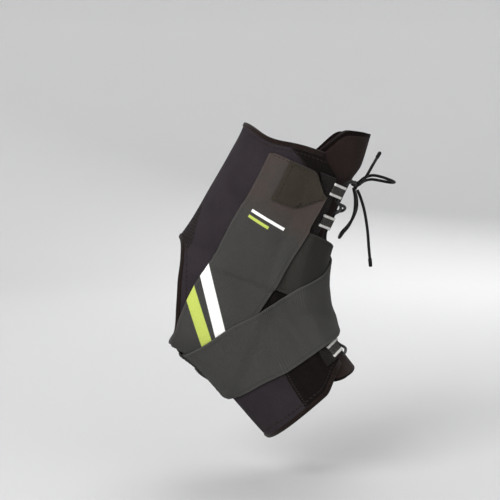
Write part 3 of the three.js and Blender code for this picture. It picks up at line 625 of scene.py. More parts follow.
def boot_material():
    """Purple-black knit, a black panel down each front edge, a coarse mesh at the heel and stitched seams;
    toward the foot the panel is widened as painted shade over the dark pocket between the straps.
    """
    paint = Paint("neoprene_face", 0.94, 0.012, (0.85, 0.8, 0.95))
    color, relief = paint.knit(*BOOT_COLORS)
    width, length = paint.uv()
    front, back, edge = paint.zone("panel_and_shade"), paint.zone("mesh"), paint.zone("edge")
    panel_and_shade = paint.band(front, -200, 0, 0.25)
    # painted shade: the black panel, widened toward the foot over the dark pocket between the straps
    color = paint.mix(panel_and_shade, color, paint.mix(paint.noise(700), *PANEL_AND_SHADE_COLORS))
    holes = paint.waves(width, MESH_PITCH) * paint.waves(length, MESH_PITCH)
    mesh = paint.band(back, 0, 200, 0.3)
    color = paint.mix(mesh, color, paint.mix(paint.spread(holes, 0.3, 0.55), *MESH_COLORS))
    for distance, place in ((edge, 4.2), (front, -1.2), (back, 1)):
        groove, thread = paint.seam(distance, place)
        color = paint.mix(groove * 0.6, color, SEAM_COLOR)
        color = paint.mix(thread * 0.8, color, THREAD_COLOR)
        relief = paint.relief((groove, -0.3, 0.8), (thread, 0.35, 0.9), below=relief)
    return paint.finish(color, paint.relief((panel_and_shade, 0.3, 0.7), (mesh * holes, -0.4, 0.9), below=relief))


def webbing_material(name, dark, light, half_width, decorate=None):
    """Ribbed elastic webbing: ribs across, fine warp lines and firm selvedges, with a painted highlight along
    each edge and painted shade in the stitch groove inside it.
    """
    paint = Paint(name, 0.9, 0.02, (0.95, 0.93, 0.9))
    width, length = paint.uv()
    weave = paint.waves(length, RIB_PITCH) * 0.7 + paint.waves(width, THREAD_PITCH) * 0.3
    fuzz = paint.noise(1100, 2)
    tone = weave * 0.45 + paint.noise(26) * 0.35 + fuzz * 0.3
    color = paint.mix(paint.spread(tone, 0.15, 0.95), dark, light)
    inset = width.math("ABSOLUTE")
    groove = paint.band(inset, (half_width - 2.6) * MM, (half_width - 2.1) * MM, 0.15 * MM)
    # painted highlight: a paler band along each edge of the strap
    edge_highlight = paint.band(inset, (half_width - 0.5) * MM, 1, 0.3 * MM)
    color = paint.mix(edge_highlight * 0.3, color, tuple(1.3 * c for c in light))
    # painted shade: the stitch groove inside each edge is darkened in colour
    color = paint.mix(groove * 0.3, color, tuple(0.45 * c for c in dark))
    if decorate:
        color = decorate(paint, color)
    steps = (weave, 0.16, 0.9), (groove, -0.15, 0.4), (paint.noise(22, 2), 1.6, 0.35), (fuzz, 0.12, 0.5)
    return paint.finish(color, paint.relief(*steps))


# Marks on the outer side strap: a stripe's lean and its two sides, a bar's four sides
# where the painted sheen starts along the outer side strap
PAINTED_SHEEN_FROM = 146
STRIPES_FROM = -62
WHITE_STRIPE = (0.243, -34.35, -26)
GREEN_STRIPE = (0.31, -48.9, -40)
WHITE_BAR = (-17, 9, 143, 145.2)
GREEN_BAR = (-17, -1, 138.2, 140.4)


def strap_marks(paint, color):
    """A patchy browner painted sheen over the upper end, a white and a green stripe across the lower part,
    and two plain bars.
    """
    width, length = paint.uv()
    toes, height = paint.axes(paint.place, 0, 2)
    grain = paint.noise(900)
    pale, lime = paint.mix(grain, *PALE_COLORS), paint.mix(grain, *LIME_COLORS)
    # painted sheen: a brighter, pinker patch over the upper end of the strap
    painted_sheen = paint.band(length, PAINTED_SHEEN_FROM * MM, 1, 12 * MM) * paint.spread(paint.noise(45), 0.2, 0.75)
    color = paint.mix(painted_sheen * 0.9, color, PAINTED_SHEEN_COLOR)
    on_side = paint.band(height, STRIPES_FROM * MM, 1, 1 * MM)
    for (lean, left, right), ink in ((WHITE_STRIPE, pale), (GREEN_STRIPE, lime)):
        stripe = paint.band(height * lean + toes, left * MM, right * MM, 0.25 * MM)
        color = paint.mix(stripe * on_side, color, ink)
    for (left, right, low, high), ink in ((WHITE_BAR, pale), (GREEN_BAR, lime)):
        across = paint.band(width, left * MM, right * MM, 0.15 * MM)
        along = paint.band(length, low * MM, high * MM, 0.15 * MM)
        color = paint.mix(across * along, color, ink)
    return color


def tape_material(name, dark, light, pitch=0.8):
    """Woven binding tape, ribbed across its length."""
    paint = Paint(name, 0.8, 0.1)
    ribs = paint.waves(paint.uv()[1], pitch)
    color = paint.mix(ribs * 0.4 + paint.noise(120, 4), dark, light)
    return paint.finish(color, paint.relief((ribs, 0.15, 0.9)))


def lace_material():
    """Braided cord: two crossing sets of slanted strands."""
    paint = Paint("braided_lace", 0.7, 0.1)
    width, length = paint.uv()
    braid = paint.waves(length + width, BRAID_PITCH).math("MAXIMUM", paint.waves(length - width, BRAID_PITCH))
    color = paint.mix(braid * paint.noise(300), *LACE_COLORS)
    return paint.finish(color, paint.relief((braid, 0.2, 0.9)))


def loop_material():
    """Dark webbing with a pale woven bar along each edge."""
    paint = Paint("loop_webbing", 0.8)
    width, length = paint.uv()
    low = paint.band(width, 0.3 * MM, 2.1 * MM, 0.2 * MM)
    bars = low.math("MAXIMUM", paint.band(width, 7.9 * MM, 9.7 * MM, 0.2 * MM))
    grain = paint.noise(700)
    color = paint.mix(bars, paint.mix(grain, *LOOP_COLORS), paint.mix(grain, *BAR_COLORS))
    return paint.finish(color, paint.relief((paint.waves(length, THREAD_PITCH), 0.14, 0.8)))


def plain_material(name, color, roughness=0.7):
    paint = Paint(name, roughness)
    grain = paint.noise(500)
    shades = (tuple(share * c for c in color) for share in (0.9, 1.1))
    return paint.finish(paint.mix(grain, *shades), paint.relief((grain, 0.1, 0.5)))


# Stitches: short threads laid along lines of points with the outward direction at each
STITCH_LENGTH = 2.2
STITCH_PITCH = 3.3
STITCH_RADIUS = 0.27
STITCH_SIDES = 6
# Each ring of a stitch: its share of the length, of the radius, and its lift
STITCH_RINGS = np.array([
    (0, 0.35, -0.12), (0.12, 0.9, 0.06), (0.5, 1, 0.16), (0.88, 0.9, 0.06), (1, 0.35, -0.12),
])


def stitch_rings(points, out):
    path = lengths(points)
    count = max(int(path[-1] / STITCH_PITCH), 1)
    starts = (np.arange(count) + 0.5) * path[-1] / count - STITCH_LENGTH / 2
    share, size, lift = STITCH_RINGS.T
    place = starts[:, None] + share * STITCH_LENGTH
    centre, up = (np.stack([np.interp(place, path, v) for v in grid.T], axis=-1) for grid in (points, out))
    up = unit(up)
    side = unit(np.cross(unit(centre[:, -1:] - centre[:, :1]), up))
    return round_rings(centre + up * lift[:, None], side, 0.8 * up, STITCH_RADIUS * size, STITCH_SIDES)


def make_stitches(name, lines, material, slot):
    rings = np.concatenate([stitch_rings(points, out) for points, out in lines])
    count, steps, sides = rings.shape[:3]
    faces, uvs = ring_faces(steps, sides, np.arange(steps), np.arange(sides + 1))
    faces = [[v + n * steps * sides for v in face] for n in range(count) for face in faces]
    uvs = np.tile(uvs, (count, 1))
    finish_piece(new_object(name, rings.reshape(-1, 3), faces, uvs, material, 70), slot)


# Tongue
TONGUE_FOOT_BOW = 0.75
ROW_LENGTH = 25


def make_tongue(material):
    across = np.linspace(-1, 1, 57)
    top = TONGUE_TOP + TONGUE_BOW * across ** 2 + TONGUE_DROP * ease(np.abs(across), *TONGUE_SHOULDER)
    row = blend(top, TONGUE_FOOT - TONGUE_FOOT_BOW * across ** 2, np.linspace(0, 1, 151)[:, None])
    turn = across * tongue_half(row)
    level = tongue_flare(row, turn)
    outer = raised(row, turn, level + tongue_thickness(row, turn))
    rings = sheet_rings(outer, raised(row, turn, level), 0.35)
    reach = lengths(outer[:, outer.shape[1] // 2])
    made = ring_sheet("padded_tongue", rings, reach, ring_around(rings[len(rings) // 2]), material)
    to_side = (1 - np.abs(across)) * tongue_half(row) * half_girth(row)
    edge = np.minimum(to_side, np.minimum(row - row[:1], row[-1:] - row) * ROW_LENGTH)
    paint_zone(made, "edge", over_sheet(edge))
    finish_piece(made, "tongue", "tongue")


# Boot
SPAN = FOOT_ROW - RIM_ROW
OPEN_FROM = (OPENING_TOP - RIM_ROW) / SPAN
OPEN_TO = (OPENING_FOOT - RIM_ROW) / SPAN
BOOT_COLUMNS = 64
EDGE_FAR = 500
PANEL_TOP_WIDTH = 24
# the panel's width at the foot takes in painted shade over the dark pocket between the straps
PANEL_AND_SHADE_FOOT_WIDTH = 43
MESH_ROW = 3.5
MESH_END = 6
MESH_TURNS = (0.9, 0.77)


def boot_row(share, turn):
    side = side_turn(turn)
    rim = RIM_ROW + RIM_SAG * np.sin(np.pi * ease(side, 0.35, 1)) ** 2
    foot = FOOT_ROW - FOOT_RISE * (1 - ease(side, 0.22, 0.5))
    return blend(rim, foot, share)


def opening_turn(share):
    t = np.clip((share - OPEN_FROM) / (OPEN_TO - OPEN_FROM), 0, 1)
    return 1 - OPENING_DEPTH * np.maximum(np.sin(np.pi * t), 0) ** OPENING_POWER


def gap_turn(share):
    return front_gap(blend(RIM_ROW, FOOT_ROW - FOOT_RISE, share))


def opening_shares(count):
    return (1 - np.cos(np.pi * np.linspace(0, 1, count + 1))) / 2


def boot_shares():
    edge = np.unique([*opening_shares(46), 0.0003, 0.9997])
    upper = np.linspace(0, OPEN_FROM, 46)[:-1]
    lower = np.linspace(OPEN_TO, 1, 46)[1:]
    return np.concatenate([upper, blend(OPEN_FROM, OPEN_TO, edge), lower])


def both_sides(near, far=None):
    """Columns of the outer side from the front to the back, then of the inner side back to the front."""
    return np.concatenate([near, (near if far is None else far)[:, ::-1]], axis=1)


def make_boot(material):
    shares = boot_shares()[:, None]
    open_turn = opening_turn(shares)
    turn = blend(gap_turn(shares), open_turn, np.linspace(0, 1, BOOT_COLUMNS + 1))
    row = boot_row(shares, turn)
    is_open = open_turn[:, 0] < 1
    layers = []
    for level in (boot_outer(row, turn), boot_inner(row, turn)):
        near, far = raised(row, turn, level), raised(row, -turn, level)
        far[~is_open, -1] = near[~is_open, -1]
        layers.append(both_sides(near, far))
    verts = np.array(layers)
    count, wide = verts.shape[1:3]
    outside, inside = np.arange(2 * count * wide).reshape(2, count, wide)
    faces = []
    for half, back in ((slice(0, BOOT_COLUMNS + 1), BOOT_COLUMNS), (slice(BOOT_COLUMNS + 1, wide), -1)):
        out, into = outside[:, half], inside[:, half]
        ring = np.concatenate([out, into[:, ::-1], out[:, :1]], axis=1)
        keep = np.ones((count - 1, ring.shape[1] - 1), bool)
        keep[:, back] = is_open[:-1] | is_open[1:]
        faces.append(quads(ring)[keep.ravel()])
        faces += [quads(np.stack(pair)) for pair in ((into[0], out[0]), (out[-1], into[-1]))]
    faces = np.concatenate(faces)
    length = lengths(layers[0][:, BOOT_COLUMNS // 2])[:, None]
    girth = side_turn(turn) * half_girth(row)
    width = both_sides(girth, 2 * half_girth(row[:, :1]) - girth)
    widths = np.array([width, width])
    widths[1, :, 0] += BOOT_THICKNESS
    uv = np.stack([widths, np.broadcast_to(length, widths.shape)], axis=-1).reshape(-1, 2)
    made = new_object("neoprene_boot", verts.reshape(-1, 3), faces.tolist(), uv[faces.ravel()], material)
    side, down = both_sides(turn), both_sides(row)
    from_opening = both_sides(np.where(open_turn < 1, (open_turn - turn) * half_girth(row), EDGE_FAR))
    edge = np.minimum(np.minimum(length, length[-1] - length), from_opening)
    # the panel widens toward the foot as painted shade over the pocket between the straps
    panel_and_shade_width = blend(PANEL_TOP_WIDTH, PANEL_AND_SHADE_FOOT_WIDTH, ease(down, 3.2, 7))
    mesh_line = blend(*MESH_TURNS, np.clip(down - MESH_ROW, 0, 1))
    mesh_rows = np.minimum(down - MESH_ROW, MESH_END - down) * ROW_LENGTH
    mesh = np.minimum((side - mesh_line) * half_girth(down), mesh_rows)
    for name, values in (("panel_and_shade", from_gap(down, side) - panel_and_shade_width), ("mesh", mesh), ("edge", edge)):
        paint_zone(made, name, [values] * 2)
    weld(made)
    finish_piece(made, "neoprene", "boot")


def weld(obj):
    work = bmesh.new()
    work.from_mesh(obj.data)
    bmesh.ops.remove_doubles(work, verts=work.verts, dist=1e-7)
    bmesh.ops.dissolve_degenerate(work, dist=1e-8, edges=work.edges)
    work.to_mesh(obj.data)
    work.free()


# Edge bindings: a rounded tape folded over each edge of the boot
BINDING_WIDTH = 3.8
BINDING_THICKNESS = 3.5
BINDING_POWER = 0.6
BINDING_LAP = 1.2
BINDING_SEAM = -0.7


def make_binding(name, row, turn, node, material, closed=False):
    middle = raised(row, turn, (boot_inner(row, turn) + boot_outer(row, turn)) / 2)
    step = np.roll(middle, -1, axis=0) - np.roll(middle, 1, axis=0) if closed else np.gradient(middle, axis=0)
    out = unit(np.cross(unit(step), normal(row, turn)))
    rise = unit(np.cross(out, unit(step)))
    angles = np.linspace(0, 2 * np.pi, 17)[:-1, None]
    reach, height = (np.sign(w) * np.abs(w) ** BINDING_POWER / 2 for w in (np.cos(angles), np.sin(angles)))
    centre = middle + out * (BINDING_WIDTH / 2 - BINDING_LAP)
    profile = out[:, None] * reach * BINDING_WIDTH + rise[:, None] * height * BINDING_THICKNESS
    rings = centre[:, None] + profile
    seam = centre + out * BINDING_SEAM + rise * BINDING_THICKNESS / 2
    if closed:
        middle, seam, rise = (np.vstack([line, line[:1]]) for line in (middle, seam, rise))
    made = ring_sheet(name, rings, lengths(middle), ring_around(rings[0]), material, closed)
    finish_piece(made, "binding", node)
    return seam, rise


def make_bindings(material):
    """The three bindings; returns a line of points and directions for the stitches of each."""
    count = 130
    across = np.linspace(-1, 1, 2 * count + 1)
    side = np.where(np.arange(2 * count + 1) < count, -1, 1)
    seams = []
    for name, share, order, node in (
        ("rim_binding_tape", 0.0, -1, "top_binding"), ("foot_binding_tape", 1.0, 1, "foot_binding"),
    ):
        turn = blend(1.0, gap_turn(share), np.abs(across))
        row = boot_row(share, turn)
        seams.append(make_binding(name, row[::order], (side * turn)[::order], node, material))
    shares = blend(OPEN_FROM, OPEN_TO, opening_shares(80))
    turn = opening_turn(shares)
    row = boot_row(shares, turn)
    ring = np.concatenate([row, row[-2:0:-1]]), np.concatenate([turn, -turn[-2:0:-1]])
    return [*seams, make_binding("heel_binding_tape", *ring, "heel_binding", material, True)]


# Lacing strips
STRIP_TOP = 1.5
STRIP_FOOT = 11.45
STRIP_WIDTH = 11
STRIP_SETBACK = 1.6


def make_strip(label, side, material):
    """A lacing strip; returns a line of points and directions along each of its edges."""
    row = np.linspace(STRIP_TOP, STRIP_FOOT, 181)[:, None]
    reach = STRIP_SETBACK + np.linspace(0, STRIP_WIDTH, 15)
    turn = front_gap(row) + reach / half_girth(row)
    row = np.broadcast_to(row, turn.shape)
    level = boot_outer(row, turn) + SNUG
    outer = raised(row, side * turn, level + STRIP_THICKNESS)
    rings = sheet_rings(outer, raised(row, side * turn, level))
    path = lengths(outer[:, 0])
    made = ring_sheet(f"{label}_strip_tape", rings, path, ring_around(rings[0]), material)
    finish_sheet(made, "strip", f"{label}_lacing_strip")
    return [(outer[:, j], normal(row[:, j], side * turn[:, j])) for j in (1, -2)]


# Webbing loops
LOOP_ROWS = (10.9, 9.2, 7.2, 5.1, 2.95, 1.85)
LOOP_WIDTH = 10
LOOP_WALL = 0.8
LOOP_NOSE = 4.8
LOOP_HEIGHT = 8.3
TAIL_BACK = 5.5
# Places across a loop as shares of its width, and how far out each stands in half walls
LOOP_SECTION = np.array([
    (-0.5, 0.55), (-0.46, 1.25), (-0.3, 1.25), (-0.29, 1), (-0.1, 1), (0.1, 1), (0.29, 1), (0.3, 1.25),
    (0.46, 1.25), (0.5, 0.55), (0.5, -1), (0, -1), (-0.5, -1),
])


def edge_frame(row, side):
    turn = side * front_gap(row)
    down = unit(skin(row + STEP, turn) - skin(row - STEP, turn))
    out = normal(row, turn)
    across = unit(np.cross(down, out) * -side)
    return skin(row, turn), across, out, down


def in_frame(place, reach, height, drop):
    point, across, out, down = place
    reach, height, drop = (np.asarray(value, float)[..., None] for value in (reach, height, drop))
    return point + across * reach + out * height + down * drop


def make_loop(label, number, side, material):
    strip_top = TONGUE_THICKNESS + SNUG + BOOT_THICKNESS + SNUG + STRIP_THICKNESS
    low = strip_top + 0.1 + LOOP_WALL / 2
    high = low + LOOP_WALL + 0.15
    radius = LACE_DIAMETER / 2 + 0.25 + LOOP_WALL / 2
    angles = np.radians(np.linspace(-70, 80, 11))
    nose = [(LOOP_NOSE + radius * math.cos(a), LOOP_HEIGHT + radius * math.sin(a)) for a in angles]
    tail = [(0.5, high + 0.35), (-1.5, high), (-3.5, high), (-TAIL_BACK, high)]
    path = np.array([(-TAIL_BACK, low), (-3, low), (-1, low - 0.1), *nose, *tail])
    tangent = unit(np.roll(path, -1, axis=0) - np.roll(path, 1, axis=0))
    aside = np.stack([tangent[:, 1], -tangent[:, 0]], axis=1) * LOOP_WALL / 2
    share, swell = LOOP_SECTION.T
    reach, height = (path[:, :, None] + aside[:, :, None] * swell).transpose(1, 0, 2)
    rings = in_frame(edge_frame(LOOP_ROWS[-number], side), reach, height, share * LOOP_WIDTH)
    around = np.array([*(share[:10] + 0.5), 1, 1.5, 2, 2]) * LOOP_WIDTH
    made = ring_sheet(f"{label}_webbing_loop_{number}", rings, ring_around(path), around, material, True)
    finish_piece(made, "loop", f"{label}_loop_{number}")


# Laces
FIRST_UP = np.array([0.3, 0.9, 0.2])


def sweep(name, path, radius, material, sides, up=FIRST_UP):
    """A round solid along a path, its rings carried on from the first without a twist."""
    tangent = unit(np.gradient(path, axis=0))
    side = np.zeros_like(path)
    for i, t in enumerate(tangent):
        up = unit(up - t * up.dot(t))
        side[i] = up
    rings = round_rings(path, side, np.cross(tangent, side), radius, sides)
    around = np.linspace(0, 2 * math.pi * np.max(radius), sides + 1)
    return ring_sheet(name, rings, lengths(path), around, material)


KNOT_ROW = 1.5
KNOT_HEIGHT = TONGUE_THICKNESS + 4.6
KNOT_RADIUS = 3.4
SHOULDER_ROW = 1.4
SHOULDER_TURN = 0.12
UNDER_HEIGHT = TONGUE_THICKNESS + 1.4 + LACE_DIAMETER / 2
OVER_HEIGHT = UNDER_HEIGHT + LACE_DIAMETER + 0.35
LOOP_REACH = LOOP_WIDTH / 2 + 1.6
CROSSING_SHARE = 0.3
CROSSING_SLOPE = 0.3
KNOT = raised(np.array(KNOT_ROW), np.array(0.0), np.array(KNOT_HEIGHT))


def strand(start_side, height):
    points, side = [], start_side
    for i in range(len(LOOP_ROWS) - 1, -1, -1):
        place = edge_frame(LOOP_ROWS[i], side)
        points += [in_frame(place, LOOP_NOSE, LOOP_HEIGHT, drop) for drop in (-LOOP_REACH, 0, LOOP_REACH)]
        if i > 0:
            middle = (LOOP_ROWS[i] + LOOP_ROWS[i - 1]) / 2
            aside = side * front_gap(middle) * CROSSING_SHARE
            drift = (LOOP_ROWS[i - 1] - LOOP_ROWS[i]) * CROSSING_SHARE * CROSSING_SLOPE
            points.append(raised(middle - drift, aside, height))
            points.append(raised(middle + drift, -aside, height))
        side = -side
    return points


def make_lacing(material):
    starts = []
    for side in (1, -1):
        toward = unit(in_frame(edge_frame(LOOP_ROWS[5], side), LOOP_NOSE, KNOT_HEIGHT, -LOOP_REACH) - KNOT)
        starts.append(KNOT + toward * (KNOT_RADIUS - 1))
    shoulders = [raised(SHOULDER_ROW, side * SHOULDER_TURN, OVER_HEIGHT) for side in (1, -1)]
    lowest = raised(LOOP_ROWS[0] + 0.75, 0, UNDER_HEIGHT + 0.4)
    points = [
        starts[0], shoulders[0], *strand(1, OVER_HEIGHT), lowest,
        *reversed(strand(-1, UNDER_HEIGHT)), shoulders[1], starts[1],
    ]
    made = sweep("lacing_cord", spline(points, 900), LACE_DIAMETER / 2, material, 12)
    finish_piece(made, "lace", "lacing")


# Free laces, as offsets from the knot in millimetres, the same routes as in the CAD
NEAR_BOW = [
    (-1.2, -2.4, -2.9), (0.4, -4.6, -8), (0.6, -5.2, -16), (-2.2, -5.4, -24), (-6.4, -5.4, -30.2),
    (-10, -5.4, -34), (-11.8, -6.8, -36.8), (-12.5, -10.1, -38), (-11.8, -13.4, -36.8),
    (-10, -14.8, -34), (-6, -14.8, -29), (-2, -13.6, -20), (-0.8, -9, -9.5), (-1.6, -3.4, -1.8),
]
FAR_BOW = [
    (2.7, 1.4, 2.4), (7, 2.4, 5.8), (13, 2.6, 7.6), (20, 2.6, 6.4), (25.2, 2.7, 4.6), (28.6, 4.1, 3.2),
    (30, 7.4, 2.3), (28.6, 10.7, 2), (25.2, 12.1, 2.4), (20, 12, 3.4), (13, 10, 4.4), (7, 5.6, 3.2),
    (3, 2.4, 0.6),
]
HANGING_END = [
    (1.4, -1.6, -3.2), (3.4, -3, -8), (6.4, -4, -18), (8.9, -4.6, -33), (10, -4.8, -46),
    (10.8, -5, -54),
]
UPPER_END = [
    (3.7, -1.8, 1.9), (4.6, -7, 3.6), (7.2, -12.8, 7.8), (10.8, -13.6, 14.4), (15.2, -7, 20.8),
]
TIP_DIAMETER = 2.8
TIP_SINK = 0.3
# Places along a tip from the lace's end, and shares of its radius there
TIP_RINGS = np.array([(-0.6, 0.72), (0, 0.98), (0.5, 1), (4.9, 1), (5.6, 0.94), (6, 0.7), (6.1, 0.35)])
TIP_UP = (0.2, 1, 0.1)


def make_tip(label, offsets, material):
    before, end = KNOT + np.array(offsets[-2:])
    along = unit(end - before)
    place, share = TIP_RINGS.T
    path = end + along * (place[:, None] + TIP_SINK)
    made = sweep(f"{label}_tip", path, share * TIP_DIAMETER / 2, material, 20, np.cross(along, TIP_UP))
    return finish_piece(made, "lace", f"{label}_lace_tip")


def make_free_laces(lace, tip):
    hanging, upper = make_tip("hanging", HANGING_END, tip), make_tip("upper", UPPER_END, tip)
    for node, offsets, tips in (
        ("near_bow_loop", NEAR_BOW, []),
        ("far_bow_loop", FAR_BOW, []),
        ("hanging_lace_end", HANGING_END, [hanging]),
        ("upper_lace_end", UPPER_END, [upper]),
    ):
        path = spline(KNOT + np.array(offsets), 160)
        made = sweep(f"{node}_cord", path, LACE_DIAMETER / 2, lace, 16)
        finish_piece(made, "lace", node)


KNOT_TURNS = 2.6
KNOT_LUMP = [(-2.6, -1.6, 1.5), (-1, -0.6, 0.6), (0.6, 0.6, -0.4), (2.4, 1.2, 1)]


def make_knot(material):
    """The bow knot: a band wrapped over a lump of lace."""
    turns = np.linspace(0, 2 * np.pi * KNOT_TURNS, 90)
    drift = 0.6 * np.sin(turns * 0.5) + np.linspace(-1.2, 1.4, 90)
    wrap = np.stack([drift, 2.1 * np.cos(turns), 2.2 * np.sin(turns)], axis=1)[::6]
    made = sweep("bow_knot_wrap", spline(KNOT + wrap, 140), LACE_DIAMETER / 2, material, 12)
    finish_piece(made, "lace", "bow_knot")
    core = sweep("bow_knot_core", spline(KNOT + np.array(KNOT_LUMP), 40), LACE_DIAMETER * 0.6, material, 12)
    finish_piece(core, "lace")


# Straps and tabs
FINE_SPACING = 1.6
FINE_CELL = 1.3
COVER_SPACING = 3
COVER_CELL = 4
SEAM_INSET = 2.2
CORNER_CUT = 13
CORNER_FROM = 9
END_ROUND = 2
END_INSET = 0.6
SEAM_GAP = 0.1
TAB_MARGIN = 1
TAB_SLANT = 0.14
TAB_CUT = 13


def end_cut(front):
    """How far the upper end is cut back toward its front corner."""
    return CORNER_CUT * ease(front, CORNER_FROM, SIDE_WIDTH / 2) + END_ROUND * ease(-front, 21, 25)


def make_strap(name, node, stations, layer, material, slot, thickness, rests):
    """A strap or tab; returns a line of points and directions along each of its edges."""
    level = layer.height(stations.row, stations.turn)
    outer = raised(stations.row, stations.turn, level + thickness)
    inner = raised(stations.row, stations.turn, level)
    width = stations.width
    edge = thickness / 2
    around = np.array([*width, width[-1] + edge, *width[::-1], width[0] - edge, width[0]])
    reach = over_sheet(stations.place - stations.reach[0])
    made = ring_sheet(name, sheet_rings(outer, inner, 0.35), reach, around, material)
    finish_sheet(made, slot, node)
    up = normal(stations.row, stations.turn)
    i, j = round(SEAM_INSET / FINE_SPACING), round(SEAM_INSET / FINE_CELL)
    rows, columns = slice(i, -i), slice(j, -j)
    spots = {"start": (i, columns), "end": (-1 - i, columns), "low": (rows, j), "high": (rows, -1 - j)}
    return {key: (outer[spot], up[spot]) for key, spot in spots.items()}


def make_straps(materials):
    """Four straps and two tabs, each over those before it; returns the lines of their stitches."""
    under, over = Line(UNDER_STRAP_START, -1), Line(OVER_STRAP_START, 1)
    cross_half, side_half = CROSS_WIDTH / 2, SIDE_WIDTH / 2
    layers, seams = [], []
    for key, line, front, ramp in (
        ("under_cross", under, 0, LAP_RAMP),
        ("outer_side", under, 1, LAP_RAMP),
        ("over_cross", over, 0, SOFT_RAMP),
        ("inner_side", over, -1, LAP_RAMP),
    ):
        span = line, 0, line.seam - SEAM_GAP, cross_half, cross_half
        if front:
            span = line, line.seam + SEAM_GAP, line.end, side_half, side_half
        strap = Stations(*span, FINE_SPACING, FINE_CELL)
        if front:
            strap.trim(strap.reach[0], strap.reach[-1] - end_cut(front * strap.width))
        layer = Layer(Stations(*span, COVER_SPACING, COVER_CELL), [*layers], ramp)
        look = materials[key], "webbing", STRAP_THICKNESS, "neoprene_boot"
        lines = make_strap(f"{key}_webbing", f"{key}_strap", strap, layer, *look)
        seams += [lines["start"], lines["end"]]
        layers.append(layer)
    near, far = side_half - TAB_INSET, side_half - TAB_MARGIN
    for key, line, front, below in (("outer", under, 1, layers[:2]), ("inner", over, -1, layers)):
        sides = (near, far)[::front]
        tab = Stations(line, line.end - TAB_LENGTH, line.end, *sides, FINE_SPACING, FINE_CELL)
        place = front * tab.width
        low = tab.reach[0] + TAB_SLANT * (place - place.min()) + TAB_CUT * ease(place, 6, side_half)
        tab.trim(low, tab.reach[-1] - END_INSET - end_cut(place))
        look = materials["tab"], "tab", TAB_THICKNESS, f"{key}_side_webbing"
        seams += make_strap(f"{key}_tab_tape", f"{key}_tab", tab, Layer(tab, below), *look).values()
    return seams


# Stage and lights
FLOOR_DROP = 31 * MM
FLOOR_RADIUS = 1.3
WALL_BEND = 0.9
WALL_TOP = 3.2
STAGE_SIDES = 72
# floor colours: painted shade near the middle, a painted pool of light halfway out and painted shade high on
# the wall
STAGE_NEAR_SHADE = (0.5, 0.5, 0.502)
STAGE_MIDDLE_LIGHT = (0.75, 0.75, 0.752)
STAGE_HIGH_SHADE = (0.44, 0.44, 0.442)
STAGE_MIDDLE_AT = 2.16
STAGE_HIGH_AT = 3
# Each lamp's place, size in metres and power in watts
LAMPS = {
    "key": ((-0.8, -1.1, 0.8), 0.9, 25),
    "fill": ((1.2, -0.9, 0.4), 1.2, 4.5),
    "top": ((0.1, 0.5, 1.5), 1.0, 9),
    "back": ((0.5, 1.2, 0.7), 1.2, 9),
}
SKY_COLOR = (0.93, 0.94, 0.95)
SKY_STRENGTH = 0.6


def add_stage():
    """A pale round floor that bends up into a wall all round, paler halfway out than near or high up: a
    painted pool of light halfway out, with painted shade near the middle and high on the wall.
    """
    low = cad_box[0][2] - FLOOR_DROP
    angles = np.radians(np.linspace(0, 90, 13))
    bend = [(FLOOR_RADIUS + WALL_BEND * math.sin(a), WALL_BEND * (1 - math.cos(a))) for a in angles]
    profile = [(0.001, 0.0), (0.5, 0.0), *bend, (FLOOR_RADIUS + WALL_BEND, WALL_TOP)]
    turns = 2 * np.pi * np.arange(STAGE_SIDES) / STAGE_SIDES
    verts = [(r * math.cos(t), r * math.sin(t), low + z) for r, z in profile for t in turns]
    number = np.arange(len(verts)).reshape(len(profile), STAGE_SIDES)
    mesh = bpy.data.meshes.new("floor")
    mesh.from_pydata(verts, [], quads(np.pad(number, ((0, 0), (0, 1)), mode="wrap")).tolist())
    mesh.shade_smooth()
    floor = bpy.data.objects.new("floor", mesh)
    bpy.context.collection.objects.link(floor)
    paint = Paint("floor_paper", 0.95)
    distance = paint.add("VectorMath", {0: paint.place}, "Value", operation="LENGTH")
    # painted light and shade: a radial gradient over the floor and wall
    color = paint.mix(paint.spread(distance, 0, STAGE_MIDDLE_AT), STAGE_NEAR_SHADE, STAGE_MIDDLE_LIGHT)
    color = paint.mix(paint.spread(distance, STAGE_MIDDLE_AT, STAGE_HIGH_AT), color, STAGE_HIGH_SHADE)
    paint.fill(paint.shader, {"Base Color": color})
    mesh.materials.append(paint.material)


def add_lights():
    for name, (place, size, power) in LAMPS.items():
        data = bpy.data.lights.new(name, "AREA")
        data.size = size
        data.energy = power
        lamp = bpy.data.objects.new(name, data)
        bpy.context.collection.objects.link(lamp)
        lamp.location = place
        lamp.rotation_euler = (-Vector(place)).to_track_quat("-Z", "Y").to_euler()
    scene = bpy.context.scene
    scene.world = bpy.data.worlds.new("world")
    scene.world.use_nodes = True
    background = scene.world.node_tree.nodes["Background"]
    background.inputs[0].default_value = (*SKY_COLOR, 1)
    background.inputs[1].default_value = SKY_STRENGTH
    scene.view_settings.view_transform = "Standard"


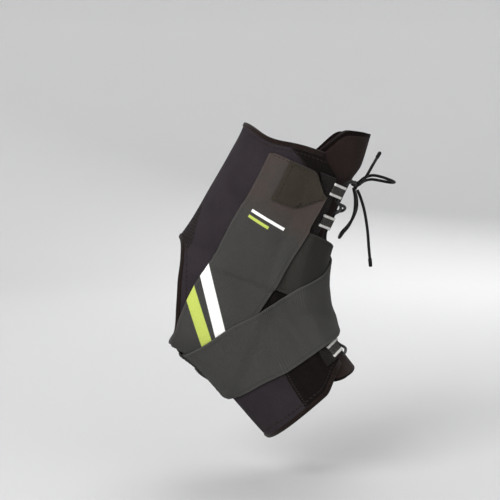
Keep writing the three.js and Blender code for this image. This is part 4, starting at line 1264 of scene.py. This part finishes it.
# Assembly
TIP_COLOR = (0.007, 0.0065, 0.0065)
BINDING_COLORS = ((0.0035, 0.0015, 0.0012), (0.0105, 0.0055, 0.0042))
STRIP_COLORS = ((0.003, 0.0025, 0.0025), (0.012, 0.01, 0.009))
SIDE_COLORS = ((0.0265, 0.026, 0.0245), (0.061, 0.0595, 0.056))
UNDER_COLORS = ((0.0145, 0.014, 0.0125), (0.034, 0.0325, 0.029))
TAB_COLORS = ((0.02, 0.0168, 0.0122), (0.047, 0.0405, 0.0305))
BINDING_THREAD = (0.02, 0.012, 0.01)
STRIP_THREAD = (0.016, 0.014, 0.013)
STRAP_THREAD = (0.022, 0.021, 0.018)

add_camera()
lace = lace_material()
make_free_laces(lace, plain_material("lace_tip_wrap", TIP_COLOR, 0.5))
make_knot(lace)
make_lacing(lace)
make_tongue(tongue_material())
make_boot(boot_material())
edge_seams = make_bindings(tape_material("binding_tape", *BINDING_COLORS))
strip_cloth = tape_material("strip_tape", *STRIP_COLORS, 1.2)
strip_seams = [*make_strip("outer", 1, strip_cloth), *make_strip("inner", -1, strip_cloth)]
loop_cloth = loop_material()
for side, label in ((1, "outer"), (-1, "inner")):
    for number in range(len(LOOP_ROWS), 0, -1):
        make_loop(label, number, side, loop_cloth)
side_half, cross_half = SIDE_WIDTH / 2, CROSS_WIDTH / 2
strap_seams = make_straps({
    "under_cross": webbing_material("under_strap_webbing", *UNDER_COLORS, cross_half),
    "outer_side": webbing_material("side_strap_webbing", *SIDE_COLORS, side_half, strap_marks),
    "over_cross": webbing_material("over_strap_webbing", *SIDE_COLORS, cross_half),
    "inner_side": webbing_material("inner_strap_webbing", *SIDE_COLORS, side_half),
    "tab": nap_material("tab_nap", *TAB_COLORS),
})
for part, seams, color, slot in (
    ("binding", edge_seams, BINDING_THREAD, "binding"),
    ("strip", strip_seams, STRIP_THREAD, "strip"),
    ("strap", strap_seams, STRAP_THREAD, "webbing"),
):
    make_stitches(f"{part}_stitches", seams, plain_material(f"{part}_thread", color), slot)
add_stage()
add_lights()
